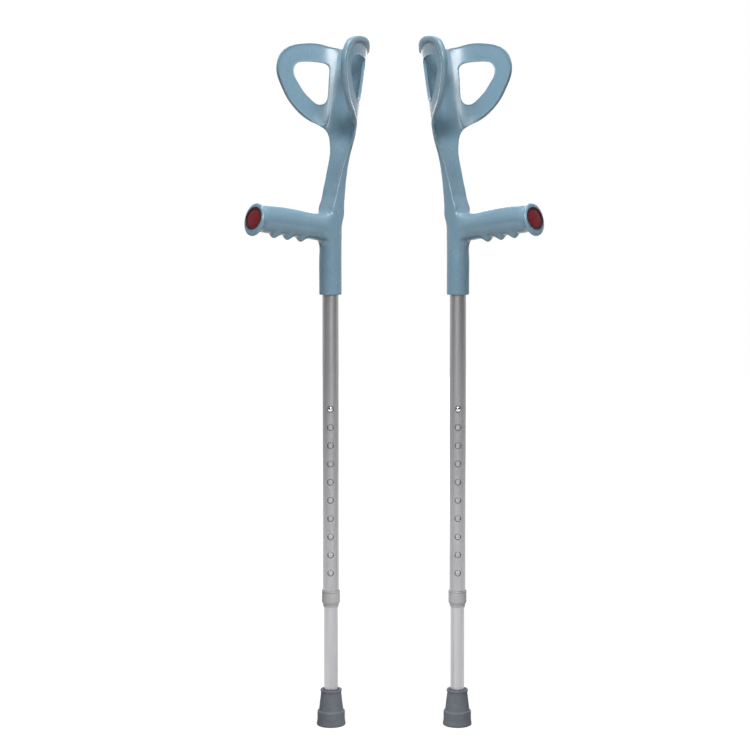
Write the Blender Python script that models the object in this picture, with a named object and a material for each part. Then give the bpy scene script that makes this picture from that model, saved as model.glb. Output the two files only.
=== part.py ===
"""A pair of height-adjustable elbow crutches, built as an assembly of separate solids.

Metres, Z up. The pair stands on its rubber feet with the floor at Z = 0, and faces -Y. Each crutch
hangs from an empty on its tube's axis at floor level, whose +X axis points along the grip. The
height holes and the snap button face the viewer, whatever way the grip is turned.
"""
import math
from collections import namedtuple

import bmesh
import bpy
import numpy as np
from mathutils import Matrix, Vector

# The pair as it stands
TUBE_SPACING = 0.174
GRIP_HEADING = math.radians(43.0)

# Clearances
SEAT_GAP = 0.0003
SLIDE_GAP = 0.0003

# Lower tube and its foot
LOWER_TUBE_RADIUS = 0.0095
LOWER_TUBE_WALL = 0.0012
FERRULE_BASE_RADIUS = 0.0200
FERRULE_BAND_RADIUS = 0.0189
FERRULE_CONE_RADIUS = 0.0168
FERRULE_NECK_RADIUS = 0.0140
FERRULE_FLARE_HEIGHT = 0.0060
FERRULE_BAND_HEIGHT = 0.0195
FERRULE_HEIGHT = 0.0495
FERRULE_SOLE = 0.0100
FERRULE_LIP = 0.0018
TREAD_DEPTH = 0.0015
TREAD_WIDTH = 0.0030
TREAD_COUNT = 1
WASHER_THICKNESS = 0.0015

# Upper tube
UPPER_TUBE_RADIUS = 0.0110
UPPER_TUBE_BOTTOM = 0.1720

# Height holes and snap button
HOLE_RADIUS = 0.0041
HOLE_PITCH = 0.0250
HOLE_COUNT = 10
BUTTON_HEIGHT = 0.4370
BUTTON_RADIUS = 0.0037
BUTTON_REACH = 0.0135
BUTTON_DOME = 0.0022
BUTTON_FLANGE_RADIUS = 0.0050
BUTTON_FLANGE_THICKNESS = 0.0014
TUBE_ABOVE_BUTTON = 0.0450
SPRING_WIDTH = 0.0068
SPRING_THICKNESS = 0.0006
SPRING_LENGTH = 0.0360
SPRING_TAIL = 0.0060

# Guide bush in the lower tube's top end
GUIDE_HEAD_HEIGHT = 0.0060
GUIDE_PLUG_LENGTH = 0.0120
GUIDE_BORE_RADIUS = 0.0060

# Collar on the upper tube's bottom end
COLLAR_RADIUS = 0.0124
COLLAR_CUP_DEPTH = 0.0150
COLLAR_SHOULDER_DROP = 0.0041
COLLAR_CHAMFER = 0.0034
COLLAR_NECK_WALL = 0.0008
COLLAR_NECK_LENGTH = 0.0032

# Handle: sleeve and grip
SLEEVE_BOTTOM = 0.5910
SLEEVE_RADIUS = 0.0148
SLEEVE_LENGTH = 0.0730
BORE_DEPTH = 0.1020
GRIP_ROOT_HEIGHT = 0.0360
GRIP_ROOT_REACH = 0.0230
GRIP_LENGTH = 0.1387
GRIP_HALF_WIDTH = 0.0148
GRIP_TILT = math.radians(8.0)
RIDGE_DEPTH = 0.0062
RIDGE_PITCH = 0.0218
RIDGE_COUNT = 3
RIDGE_FROM_END = 0.0412
FLANGE_RADIUS = 0.0212
FLANGE_THICKNESS = 0.0052

# Handle: cuff
CUFF_REACH = 0.0870
CUFF_HALF_OPENING = 0.0615
CUFF_FOOT_SIZE = 0.90
SPINE_FOOT_SETBACK = 0.0330
SPINE_LEAN = 0.1865
CUFF_TAPER = 1.04
SHELL_THICKNESS = 0.0032
RIM_THICKNESS = 0.0052
RIM_SHARE = 0.36
SPINE_TOP_DIP = 0.0085

# Reflector in the grip's end
REFLECTOR_RADIUS = 0.0153
REFLECTOR_DEPTH = 0.0042
REFLECTOR_RING = 0.0024
REFLECTOR_FLOOR = 0.0012
LENS_THICKNESS = 0.0022
LENS_CROWN = 0.0006

# Facets
TURNED_SIDES = 20
HOLE_SIDES = 10
BUTTON_SIDES = 12
HANDLE_SMOOTHING = 1

# How far the handle's cage runs below the sleeve's end, where it is cut off flat
TRIM = 0.0060

# The handle's cage has twelve points round the column: six in front, six behind
COLUMN_SIDES = 12
FRONT_POINTS = 6
GRIP_SIDES = 16
ACROSS = (-1.0, -0.6, -0.2, 0.2, 0.6, 1.0)

# One level of the leaning stem, measured from the sleeve's bottom end and the tube's axis
Stem = namedtuple("Stem", "height front_middle front_edge back_edge back_middle half_width")
STEM = (
    Stem(0.1200, 0.0095, 0.0060, -0.0100, -0.0160, 0.0144),
    Stem(0.1310, 0.0035, 0.0030, -0.0120, -0.0180, 0.0142),
    Stem(0.1550, -0.0052, -0.0042, -0.0155, -0.0218, 0.0142),
    Stem(0.1790, -0.0120, -0.0110, -0.0190, -0.0266, 0.0156),
    Stem(0.1950, -0.0183, -0.0168, -0.0222, -0.0312, 0.0177),
    Stem(0.2060, -0.0235, -0.0195, -0.0238, -0.0345, 0.0200),
    Stem(0.2170, -0.0290, -0.0210, -0.0245, -0.0365, 0.0238),
)

# One section of the grip: how far along it is, its top, and its underside without ridges
Grip = namedtuple("Grip", "along top bottom")
GRIP_SECTIONS = (
    Grip(0.0200, 0.1090, 0.0735),
    Grip(0.0450, 0.1112, 0.0765),
    Grip(0.0770, 0.1172, 0.0810),
    Grip(0.1100, 0.1202, 0.0860),
    Grip(0.1300, 0.1210, 0.0884),
)

# Outlines on the cuff's shell: share of the way from spine to free edge, and height.
# Both run round one wing from the top of the spine, and the seam with the spine closes the rim's.
WING_RIM = (
    (0.30, 0.3410),
    (0.462, 0.3430),
    (0.620, 0.3470),
    (0.785, 0.3468),
    (0.960, 0.3373),
    (1.018, 0.3114),
    (0.979, 0.2892),
    (0.915, 0.2701),
    (0.811, 0.2536),
    (0.650, 0.2405),
    (0.426, 0.2312),
    (0.34, 0.2610),
    (0.31, 0.2990),
    (0.30, 0.3340),
)
WING_WINDOW = (
    (0.439, 0.3139),
    (0.498, 0.3205),
    (0.621, 0.3228),
    (0.742, 0.3228),
    (0.849, 0.3187),
    (0.871, 0.3032),
    (0.823, 0.2902),
    (0.764, 0.2784),
    (0.678, 0.2682),
    (0.580, 0.2610),
    (0.476, 0.2625),
    (0.429, 0.2690),
    (0.427, 0.2856),
    (0.442, 0.3029),
)
# The rim's point where the wing's lower edge meets the stem, and its points on the seam above it
STEM_CORNER = 10
SEAM = (10, 11, 12, 13, 0)

Finish = namedtuple("Finish", "colour roughness metallic")
FINISHES = {
    "handle": Finish((0.19, 0.33, 0.43), 0.38, 0.0),
    "reflector_base": Finish((0.03, 0.008, 0.01), 0.4, 0.0),
    "reflector_lens": Finish((0.30, 0.01, 0.015), 0.15, 0.0),
    "upper_tube": Finish((0.62, 0.62, 0.63), 0.35, 1.0),
    "tube_collar": Finish((0.42, 0.42, 0.43), 0.6, 0.0),
    "lower_tube": Finish((0.70, 0.70, 0.72), 0.35, 1.0),
    "guide_bush": Finish((0.30, 0.30, 0.31), 0.6, 0.0),
    "snap_button": Finish((0.75, 0.75, 0.76), 0.2, 1.0),
    "button_spring": Finish((0.55, 0.55, 0.57), 0.3, 1.0),
    "ferrule": Finish((0.16, 0.18, 0.20), 0.8, 0.0),
    "ferrule_washer": Finish((0.60, 0.60, 0.61), 0.35, 1.0),
}


def clear_scene():
    """Remove whatever the file opened with."""
    for item in list(bpy.data.objects):
        bpy.data.objects.remove(item, do_unlink=True)


def mesh_from(name, points, faces):
    """A mesh with all its faces pointing out."""
    bm = bmesh.new()
    corners = [bm.verts.new(point) for point in points]
    for face in faces:
        bm.faces.new([corners[index] for index in face])
    bmesh.ops.recalc_face_normals(bm, faces=bm.faces)
    mesh = bpy.data.meshes.new(name)
    bm.to_mesh(mesh)
    bm.free()
    return mesh


def shade(mesh, crease_degrees=35.0):
    """Smooth shading, with edges kept where the surface turns sharply."""
    mesh.shade_smooth()
    mesh.set_sharp_from_angle(angle=math.radians(crease_degrees))
    return mesh


def turned(name, outline, sides=TURNED_SIDES):
    """Spin a closed outline of (radius, height) points round Z."""
    bm = bmesh.new()
    ring = [bm.verts.new((radius, 0.0, height)) for radius, height in outline]
    edges = [bm.edges.new((a, b)) for a, b in zip(ring, ring[1:] + ring[:1])]
    bmesh.ops.spin(
        bm,
        geom=ring + edges,
        cent=(0.0, 0.0, 0.0),
        axis=(0.0, 0.0, 1.0),
        angle=math.tau,
        steps=sides,
        use_merge=True,
    )
    bmesh.ops.remove_doubles(bm, verts=bm.verts, dist=1e-6)
    loose = [edge for edge in bm.edges if not edge.link_faces]
    bmesh.ops.delete(bm, geom=loose, context="EDGES")
    bmesh.ops.recalc_face_normals(bm, faces=bm.faces)
    mesh = bpy.data.meshes.new(name)
    bm.to_mesh(mesh)
    bm.free()
    return mesh


def rod_cutter(radius, length, place, sides=TURNED_SIDES):
    """A hidden cylinder along its own +Z from place, used only to cut with."""
    mesh = turned("cutter", ((0.0, 0.0), (radius, 0.0), (radius, length), (0.0, length)), sides)
    cutter = bpy.data.objects.new("cutter", mesh)
    cutter.matrix_world = place
    cutter.hide_render = True
    cutter.display_type = "WIRE"
    bpy.context.collection.objects.link(cutter)
    return cutter


def finished_mesh(name, mesh, cutters, smoothing=0):
    """Apply the smoothing and the cuts to a mesh, and return the result as a new mesh."""
    blank = bpy.data.objects.new("blank", mesh)
    bpy.context.collection.objects.link(blank)
    if smoothing:
        surface = blank.modifiers.new("smooth surface", "SUBSURF")
        surface.levels = smoothing
        surface.render_levels = smoothing
    for cutter in cutters:
        cut = blank.modifiers.new("cut", "BOOLEAN")
        cut.operation = "DIFFERENCE"
        cut.solver = "EXACT"
        cut.object = cutter
    bpy.context.view_layer.update()
    graph = bpy.context.evaluated_depsgraph_get()
    result = bpy.data.meshes.new_from_object(blank.evaluated_get(graph))
    result.name = name
    for item in [blank] + cutters:
        bpy.data.objects.remove(item, do_unlink=True)
    return result


class Cage:
    """Points and four-sided faces of the handle's control cage."""

    def __init__(self):
        self.points = []
        self.faces = []
        self.loose = []

    def add(self, point, loose=False):
        """Store a point and return its index. The fitting leaves a loose point where it is."""
        self.points.append(Vector(point))
        if loose:
            self.loose.append(len(self.points) - 1)
        return len(self.points) - 1

    def face(self, *corners):
        """Store one four-sided face."""
        self.faces.append(corners)

    def bridge(self, ring, following, skip=()):
        """Join two rings of equal length with faces, leaving out the sides in skip."""
        count = len(ring)
        for side in range(count):
            if side not in skip:
                after = (side + 1) % count
                self.face(ring[side], ring[after], following[after], following[side])

    def fitted_points(self, rounds=3):
        """Move the cage so that its smoothed surface runs through the points that were asked for."""
        wanted = np.array([tuple(point) for point in self.points])
        faces = np.array(self.faces)
        valence = np.bincount(faces.ravel(), minlength=len(wanted)).astype(float)[:, None]
        cage = wanted.copy()
        for _ in range(rounds):
            sides = np.zeros_like(cage)
            opposite = np.zeros_like(cage)
            for corner in range(4):
                here = faces[:, corner]
                near = cage[faces[:, corner - 1]] + cage[faces[:, (corner + 1) % 4]]
                np.add.at(sides, here, near / 2.0)
                np.add.at(opposite, here, cage[faces[:, (corner + 2) % 4]])
            surface = (valence**2 * cage + 4.0 * sides + opposite) / (valence * (valence + 5.0))
            change = wanted - surface
            change[self.loose] = 0.0
            cage += change
        return cage


def sleeve_ring(height, radius):
    """The column's twelve points where it is round."""
    step = math.tau / COLUMN_SIDES
    first = -2.5 * step
    return [
        (radius * math.cos(first + step * side), radius * math.sin(first + step * side), height)
        for side in range(COLUMN_SIDES)
    ]


def stem_ring(level):
    """The column's twelve points where it is the leaning stem: a flat front and a round back."""
    front = [
        (
            level.front_middle + (level.front_edge - level.front_middle) * share**2,
            level.half_width * share,
            level.height,
        )
        for share in ACROSS
    ]
    back = [
        (
            level.back_middle + (level.back_edge - level.back_middle) * share**4,
            level.half_width * share * 0.96,
            level.height,
        )
        for share in reversed(ACROSS)
    ]
    return front + back


def cuff_plan(share):
    """Where the shell runs in plan: back from the spine, and out from the middle.

    One cubic curve: it leaves the spine square to it, bends round the forearm and flares out.
    """
    bend = abs(share)
    rest = 1.0 - bend
    forward = 3.0 * bend**2 * rest * 0.345 * CUFF_REACH + bend**3 * CUFF_REACH
    out = (
        3.0 * bend * rest**2 * 0.488 * CUFF_HALF_OPENING
        + 3.0 * bend**2 * rest * 0.700 * CUFF_HALF_OPENING
        + bend**3 * CUFF_HALF_OPENING
    )
    return forward, math.copysign(out, share)


def cuff_inside(share, height):
    """A point on the shell's inner face."""
    above_foot = height - WING_RIM[STEM_CORNER][1]
    size = CUFF_FOOT_SIZE + CUFF_TAPER * above_foot
    forward, out = cuff_plan(share)
    spine = -SPINE_FOOT_SETBACK - SPINE_LEAN * above_foot
    return Vector((spine + size * forward, size * out, height))


def cuff_outside(share, height, thickness):
    """The point on the shell's outer face, square across its thickness."""
    step = 0.001
    here = cuff_inside(share, height)
    across = cuff_inside(share + step, height) - cuff_inside(share - step, height)
    up = cuff_inside(share, height + step) - cuff_inside(share, height - step)
    return here + up.cross(across).normalized() * thickness


def add_column(cage):
    """Sleeve and stem, up to the level where the wings begin. Returns the rings and the opening."""
    grip_rows = [SLEEVE_LENGTH + GRIP_ROOT_HEIGHT * row / 3.0 for row in range(4)]
    shrinkage = (2.0 + math.cos(math.tau / COLUMN_SIDES)) / 3.0
    levels = [
        sleeve_ring(-TRIM * 2.0, SLEEVE_RADIUS / shrinkage),
        sleeve_ring(-TRIM, SLEEVE_RADIUS),
    ]
    levels += [sleeve_ring(height, SLEEVE_RADIUS) for height in grip_rows]
    levels += [stem_ring(level) for level in STEM]
    opening_row = 2
    rings = []
    for row, level in enumerate(levels):
        inside_opening = opening_row < row < opening_row + 3
        ring = []
        for side, point in enumerate(level):
            hidden = inside_opening and 0 < side < FRONT_POINTS - 1
            ring.append(None if hidden else cage.add(point, loose=row == 0))
        rings.append(ring)
    for row, (ring, following) in enumerate(zip(rings, rings[1:])):
        in_opening = opening_row <= row < opening_row + 3
        cage.bridge(ring, following, skip=range(FRONT_POINTS - 1) if in_opening else ())
    bottom = rings[0]
    for side in range(FRONT_POINTS - 1):
        last = COLUMN_SIDES - 1 - side
        cage.face(bottom[side], bottom[last], bottom[last - 1], bottom[side + 1])
    return rings, rings[opening_row : opening_row + 4]


def grip_ring(along, top, bottom, half_width, tilt=0.0, ridge=0.0):
    """Sixteen points round the grip, starting at the side away from -Y, going up."""
    middle = (top + bottom) / 2.0
    half_height = (top - bottom) / 2.0
    step = math.tau / GRIP_SIDES
    points = []
    for side in range(GRIP_SIDES):
        angle = step * (side + 0.5)
        rise = half_height * math.sin(angle)
        if rise < 0.0:
            rise -= ridge * math.sin(angle) ** 2
        points.append(
            (
                along - rise * math.sin(tilt),
                half_width * math.cos(angle),
                middle + rise * math.cos(tilt),
            )
        )
    return points


def grip_section(along):
    """The grip's top and underside at a place along it, between the measured sections."""
    stations = [section.along for section in GRIP_SECTIONS]
    top = np.interp(along, stations, [section.top for section in GRIP_SECTIONS])
    bottom = np.interp(along, stations, [section.bottom for section in GRIP_SECTIONS])
    return float(top), float(bottom)


def grip_end_centre():
    """The middle of the grip's end face."""
    top, bottom = grip_section(GRIP_LENGTH)
    return Vector((GRIP_LENGTH, 0.0, (top + bottom) / 2.0))


def add_grip(cage, opening):
    """Grip from the opening in the column out to the flange and its end face."""
    low, lower_side, upper_side, high = opening
    last = FRONT_POINTS - 1
    ring = [upper_side[last]]
    ring += [high[side] for side in range(last, -1, -1)]
    ring += [upper_side[0], lower_side[0]]
    ring += [low[side] for side in range(FRONT_POINTS)]
    ring += [lower_side[last]]
    first_ridge = GRIP_LENGTH - RIDGE_FROM_END - RIDGE_PITCH * (RIDGE_COUNT - 1)
    stations = [(GRIP_ROOT_REACH, 0.0)]
    for ridge in range(RIDGE_COUNT):
        crest = first_ridge + RIDGE_PITCH * ridge
        stations.append((crest - RIDGE_PITCH / 2.0, 0.0))
        stations.append((crest, RIDGE_DEPTH))
    stations.append((first_ridge + RIDGE_PITCH * (RIDGE_COUNT - 0.5), 0.0))
    stations.append((GRIP_LENGTH - FLANGE_THICKNESS * 2.6, 0.0))
    rings = []
    for along, ridge in stations:
        top, bottom = grip_section(along)
        share = min(1.0, max(0.0, along / GRIP_LENGTH - 0.15) / 0.6)
        rings.append(grip_ring(along, top, bottom, GRIP_HALF_WIDTH, GRIP_TILT * share, ridge))
    centre = grip_end_centre()
    direction = Vector((math.cos(GRIP_TILT), 0.0, math.sin(GRIP_TILT)))
    for back, radius in (
        (FLANGE_THICKNESS, FLANGE_RADIUS * 0.92),
        (FLANGE_THICKNESS * 0.5, FLANGE_RADIUS),
        (FLANGE_THICKNESS * 0.08, FLANGE_RADIUS * 0.94),
        (0.0, FLANGE_RADIUS * 0.82),
    ):
        middle = centre - direction * back
        rings.append(
            grip_ring(middle.x, middle.z + radius, middle.z - radius, radius, GRIP_TILT)
        )
    for points in rings:
        following = [cage.add(point) for point in points]
        cage.bridge(ring, following)
        ring = following
    columns = FRONT_POINTS
    top_row = [ring[6 - column] for column in range(columns)]
    bottom_row = [ring[9 + column] for column in range(columns)]
    rows = [bottom_row]
    for left, right, share in ((ring[8], ring[15], 1.0 / 3.0), (ring[7], ring[0], 2.0 / 3.0)):
        row = [left]
        for column in range(1, columns - 1):
            low_point = cage.points[bottom_row[column]]
            high_point = cage.points[top_row[column]]
            row.append(cage.add(low_point.lerp(high_point, share)))
        row.append(right)
        rows.append(row)
    rows.append(top_row)
    for lower, upper in zip(rows, rows[1:]):
        for column in range(columns - 1):
            cage.face(lower[column], lower[column + 1], upper[column + 1], upper[column])


def add_cuff(cage, stem_top):
    """Spine strip and both wings, each an inner and an outer sheet joined along the edges."""
    last = FRONT_POINTS - 1
    strip = []
    for corner in SEAM:
        share, height = WING_RIM[corner]
        at_top = corner in (0, SEAM[-2])
        dip = SPINE_TOP_DIP if at_top else 0.0
        thickness = RIM_THICKNESS if at_top else SHELL_THICKNESS
        inner = []
        outer = []
        for column in ACROSS:
            level = height - dip * (1.0 - column**2)
            inner.append(cage.add(cuff_inside(share * column, level)))
            outer.append(cage.add(cuff_outside(share * column, level, thickness)))
        strip.append((inner, outer))
    foot_inner, foot_outer = strip[0]
    cage.bridge(stem_top, foot_inner + foot_outer[::-1])
    for (inner, outer), (next_inner, next_outer) in zip(strip, strip[1:]):
        for column in range(last):
            cage.face(inner[column], inner[column + 1], next_inner[column + 1], next_inner[column])
            cage.face(outer[column], outer[column + 1], next_outer[column + 1], next_outer[column])
    inner, outer = strip[-1]
    for column in range(last):
        cage.face(inner[column], inner[column + 1], outer[column + 1], outer[column])
    for side in (-1.0, 1.0):
        column = last if side > 0 else 0
        seam = {corner: (row[0][column], row[1][column]) for corner, row in zip(SEAM, strip)}
        add_wing(cage, side, seam)


def add_wing(cage, side, seam):
    """One wing: loops of points from its rim in to its window, inside and outside."""
    count = len(WING_RIM)
    loops = []
    for share in (0.0, RIM_SHARE, 1.0):
        inner = []
        outer = []
        for corner in range(count):
            if share == 0.0 and corner in seam:
                inner.append(seam[corner][0])
                outer.append(seam[corner][1])
                continue
            rim = Vector(WING_RIM[corner])
            across, height = rim.lerp(Vector(WING_WINDOW[corner]), share)
            thickness = RIM_THICKNESS if share == 0.0 else SHELL_THICKNESS
            inner.append(cage.add(cuff_inside(side * across, height)))
            outer.append(cage.add(cuff_outside(side * across, height, thickness)))
        loops.append((inner, outer))
    for (inner, outer), (next_inner, next_outer) in zip(loops, loops[1:]):
        cage.bridge(inner, next_inner)
        cage.bridge(outer, next_outer)
    rim_inner, rim_outer = loops[0]
    cage.bridge(rim_inner, rim_outer, skip=range(STEM_CORNER, count))
    window_inner, window_outer = loops[-1]
    cage.bridge(window_inner, window_outer)


def end_frame():
    """Place of the grip's end face, with +Z along the grip."""
    turn = Matrix.Rotation(math.pi / 2.0 - GRIP_TILT, 4, "Y")
    return Matrix.Translation(grip_end_centre()) @ turn


def handle_mesh():
    """The one-piece moulding, with its blind bore and the reflector's seat cut in."""
    cage = Cage()
    rings, opening = add_column(cage)
    add_grip(cage, opening)
    add_cuff(cage, rings[-1])
    mesh = mesh_from("handle", cage.fitted_points(), cage.faces)
    below = TRIM * 5.0
    under = Matrix.Translation((0.0, 0.0, -below))
    trim = rod_cutter(SLEEVE_RADIUS * 1.5, below, under)
    bore = rod_cutter(UPPER_TUBE_RADIUS + SEAT_GAP, BORE_DEPTH + below, under)
    seat_place = end_frame() @ Matrix.Translation((0.0, 0.0, -REFLECTOR_DEPTH))
    seat = rod_cutter(REFLECTOR_RADIUS + SEAT_GAP, REFLECTOR_DEPTH + below, seat_place)
    return shade(finished_mesh("handle", mesh, [trim, bore, seat], HANDLE_SMOOTHING))


def reflector_base_mesh():
    """Shallow cup: its floor lies on the seat's, and its ring stands level with the end face."""
    outer = REFLECTOR_RADIUS
    inner = outer - REFLECTOR_RING
    floor = -REFLECTOR_DEPTH + SEAT_GAP
    outline = (
        (0.0, floor),
        (outer, floor),
        (outer, -0.0002),
        (outer - 0.0006, 0.0002),
        (inner, 0.0002),
        (inner, floor + REFLECTOR_FLOOR),
        (0.0, floor + REFLECTOR_FLOOR),
    )
    return shade(turned("reflector_base", outline))


def reflector_lens_mesh():
    """Slightly crowned disc that lies in the cup."""
    radius = REFLECTOR_RADIUS - REFLECTOR_RING - SEAT_GAP
    under = -REFLECTOR_DEPTH + SEAT_GAP + REFLECTOR_FLOOR + SEAT_GAP
    edge = under + LENS_THICKNESS - LENS_CROWN
    outline = (
        (0.0, under),
        (radius, under),
        (radius, edge),
        (0.0, edge + LENS_CROWN),
    )
    return shade(turned("reflector_lens", outline))


def upper_tube_mesh():
    """Outer tube with its row of height holes, which face the tube's own +X."""
    outer = UPPER_TUBE_RADIUS
    inner = LOWER_TUBE_RADIUS + SLIDE_GAP
    top = SLEEVE_BOTTOM + BORE_DEPTH - SEAT_GAP
    outline = ((inner, UPPER_TUBE_BOTTOM), (outer, UPPER_TUBE_BOTTOM), (outer, top), (inner, top))
    holes = [hole_cutter(BUTTON_HEIGHT - HOLE_PITCH * hole) for hole in range(HOLE_COUNT)]
    return shade(finished_mesh("upper_tube", turned("upper_tube", outline), holes))


def hole_cutter(height):
    """Cutter for a height hole through the wall on +X."""
    place = Matrix.Translation((0.0, 0.0, height)) @ Matrix.Rotation(math.pi / 2.0, 4, "Y")
    return rod_cutter(HOLE_RADIUS, UPPER_TUBE_RADIUS * 1.5, place, HOLE_SIDES)


def tube_foot():
    """Height of the lower tube's bottom end, on the washer in the ferrule."""
    return FERRULE_SOLE + SEAT_GAP + WASHER_THICKNESS + SEAT_GAP


def lower_tube_top():
    """Height of the lower tube's top end."""
    return BUTTON_HEIGHT + TUBE_ABOVE_BUTTON


def lower_tube_mesh():
    """Inner tube with the hole that the snap button stands in."""
    outer = LOWER_TUBE_RADIUS
    inner = outer - LOWER_TUBE_WALL
    outline = (
        (inner, tube_foot()),
        (outer, tube_foot()),
        (outer, lower_tube_top()),
        (inner, lower_tube_top()),
    )
    hole = hole_cutter(BUTTON_HEIGHT)
    return shade(finished_mesh("lower_tube", turned("lower_tube", outline), [hole]))


def tube_collar_mesh():
    """Bush round the upper tube's end: a cup above, a shoulder, and a thin neck below."""
    cup = UPPER_TUBE_RADIUS + SEAT_GAP
    guide = LOWER_TUBE_RADIUS + SLIDE_GAP
    neck = guide + COLLAR_NECK_WALL
    seat = UPPER_TUBE_BOTTOM - SEAT_GAP
    top = seat + COLLAR_CUP_DEPTH
    shoulder = seat - COLLAR_SHOULDER_DROP
    neck_top = shoulder - COLLAR_CHAMFER
    edge = 0.0006
    outline = (
        (guide, neck_top - COLLAR_NECK_LENGTH),
        (neck, neck_top - COLLAR_NECK_LENGTH),
        (neck, neck_top),
        (COLLAR_RADIUS - edge, shoulder - edge),
        (COLLAR_RADIUS, shoulder + edge),
        (COLLAR_RADIUS, top - edge),
        (COLLAR_RADIUS - edge, top),
        (cup, top),
        (cup, seat),
        (guide, seat),
    )
    return shade(turned("tube_collar", outline))


def guide_bush_mesh():
    """Flanged plug in the lower tube's top end. Its head runs in the upper tube."""
    plug = LOWER_TUBE_RADIUS - LOWER_TUBE_WALL - SEAT_GAP
    head = LOWER_TUBE_RADIUS
    seat = lower_tube_top() + SEAT_GAP
    outline = (
        (GUIDE_BORE_RADIUS, seat - GUIDE_PLUG_LENGTH),
        (plug, seat - GUIDE_PLUG_LENGTH),
        (plug, seat),
        (head, seat),
        (head, seat + GUIDE_HEAD_HEIGHT),
        (GUIDE_BORE_RADIUS, seat + GUIDE_HEAD_HEIGHT),
    )
    return shade(turned("guide_bush", outline))


def button_flange_seat():
    """How far from the tube's axis the button's flange can reach before it meets the bore."""
    bore = LOWER_TUBE_RADIUS - LOWER_TUBE_WALL
    flat = bore * math.cos(math.pi / TURNED_SIDES)
    return math.sqrt(flat**2 - BUTTON_FLANGE_RADIUS**2) - SEAT_GAP


def snap_button_mesh():
    """Domed button on a flange, turned round its own +Z, measured from the tube's axis."""
    seat = button_flange_seat()
    spring = BUTTON_REACH - BUTTON_DOME
    outline = (
        (0.0, seat - BUTTON_FLANGE_THICKNESS),
        (BUTTON_FLANGE_RADIUS, seat - BUTTON_FLANGE_THICKNESS),
        (BUTTON_FLANGE_RADIUS, seat),
        (BUTTON_RADIUS, seat),
        (BUTTON_RADIUS, spring),
        (BUTTON_RADIUS * 0.87, spring + BUTTON_DOME * 0.5),
        (BUTTON_RADIUS * 0.5, spring + BUTTON_DOME * 0.87),
        (0.0, BUTTON_REACH),
    )
    return shade(turned("snap_button", outline, BUTTON_SIDES))


def button_spring_mesh():
    """Folded leaf: one leg under the button's flange, a round fold below, one leg on the back wall."""
    bore = (LOWER_TUBE_RADIUS - LOWER_TUBE_WALL) * math.cos(math.pi / TURNED_SIDES)
    half = SPRING_THICKNESS / 2.0
    front = button_flange_seat() - BUTTON_FLANGE_THICKNESS - SEAT_GAP - half
    back = -math.sqrt(bore**2 - (SPRING_WIDTH / 2.0) ** 2) + SEAT_GAP + half
    fold = (front - back) / 2.0
    middle = (front + back) / 2.0
    fold_height = BUTTON_HEIGHT - SPRING_LENGTH
    path = [Vector((front, BUTTON_HEIGHT + SPRING_TAIL))]
    for step in range(9):
        angle = math.pi * step / 8.0
        path.append(
            Vector((middle + fold * math.cos(angle), fold_height - fold * math.sin(angle)))
        )
    path.append(Vector((back, BUTTON_HEIGHT + SPRING_TAIL)))
    left = []
    right = []
    for index, point in enumerate(path):
        before = path[max(index - 1, 0)]
        after = path[min(index + 1, len(path) - 1)]
        along = (after - before).normalized()
        across = Vector((-along.y, along.x)) * half
        left.append(point + across)
        right.append(point - across)
    edges = []
    for width in (-SPRING_WIDTH / 2.0, SPRING_WIDTH / 2.0):
        edges.append([(point.x, width, point.y) for point in left])
        edges.append([(point.x, width, point.y) for point in right])
    count = len(path)
    points = [point for edge in edges for point in edge]
    faces = []
    for index in range(count - 1):
        a, b, c, d = (index + count * edge for edge in range(4))
        faces.append((a, a + 1, b + 1, b))
        faces.append((c, d, d + 1, c + 1))
        faces.append((a, c, c + 1, a + 1))
        faces.append((b, b + 1, d + 1, d))
    for index in (0, count - 1):
        a, b, c, d = (index + count * edge for edge in range(4))
        faces.append((a, b, d, c))
    return shade(mesh_from("button_spring", points, faces))


def ferrule_mesh():
    """Rubber foot: flared sole with round tread grooves, band, shoulder, cone and rolled rim."""
    bore = LOWER_TUBE_RADIUS + SEAT_GAP
    rim = FERRULE_NECK_RADIUS
    top = FERRULE_HEIGHT
    outline = [(0.0, 0.0)]
    pitch = FERRULE_BASE_RADIUS / (TREAD_COUNT + 1.0)
    for groove in range(TREAD_COUNT):
        inside = pitch * (groove + 1.0) - TREAD_WIDTH / 2.0
        outline += [
            (inside, 0.0),
            (inside, TREAD_DEPTH),
            (inside + TREAD_WIDTH, TREAD_DEPTH),
            (inside + TREAD_WIDTH, 0.0),
        ]
    outline += [
        (FERRULE_BASE_RADIUS - 0.0008, 0.0),
        (FERRULE_BASE_RADIUS, 0.0010),
        (FERRULE_BAND_RADIUS - 0.0002, FERRULE_FLARE_HEIGHT),
        (FERRULE_BAND_RADIUS, FERRULE_BAND_HEIGHT - 0.0010),
        (FERRULE_BAND_RADIUS - 0.0010, FERRULE_BAND_HEIGHT),
        (FERRULE_CONE_RADIUS, FERRULE_BAND_HEIGHT + 0.0012),
        (rim - 0.0004, top - FERRULE_LIP * 2.4),
        (rim + 0.0003, top - FERRULE_LIP * 1.2),
        (rim - 0.0006, top),
        (rim - FERRULE_LIP, top),
        (bore, top - FERRULE_LIP * 1.4),
        (bore, FERRULE_SOLE),
        (0.0, FERRULE_SOLE),
    ]
    return shade(turned("ferrule", outline))


def ferrule_washer_mesh():
    """Steel disc at the bottom of the ferrule's bore."""
    bottom = FERRULE_SOLE + SEAT_GAP
    top = bottom + WASHER_THICKNESS
    radius = LOWER_TUBE_RADIUS - SEAT_GAP
    outline = ((0.0, bottom), (radius, bottom), (radius, top), (0.0, top))
    return shade(turned("ferrule_washer", outline))


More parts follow.
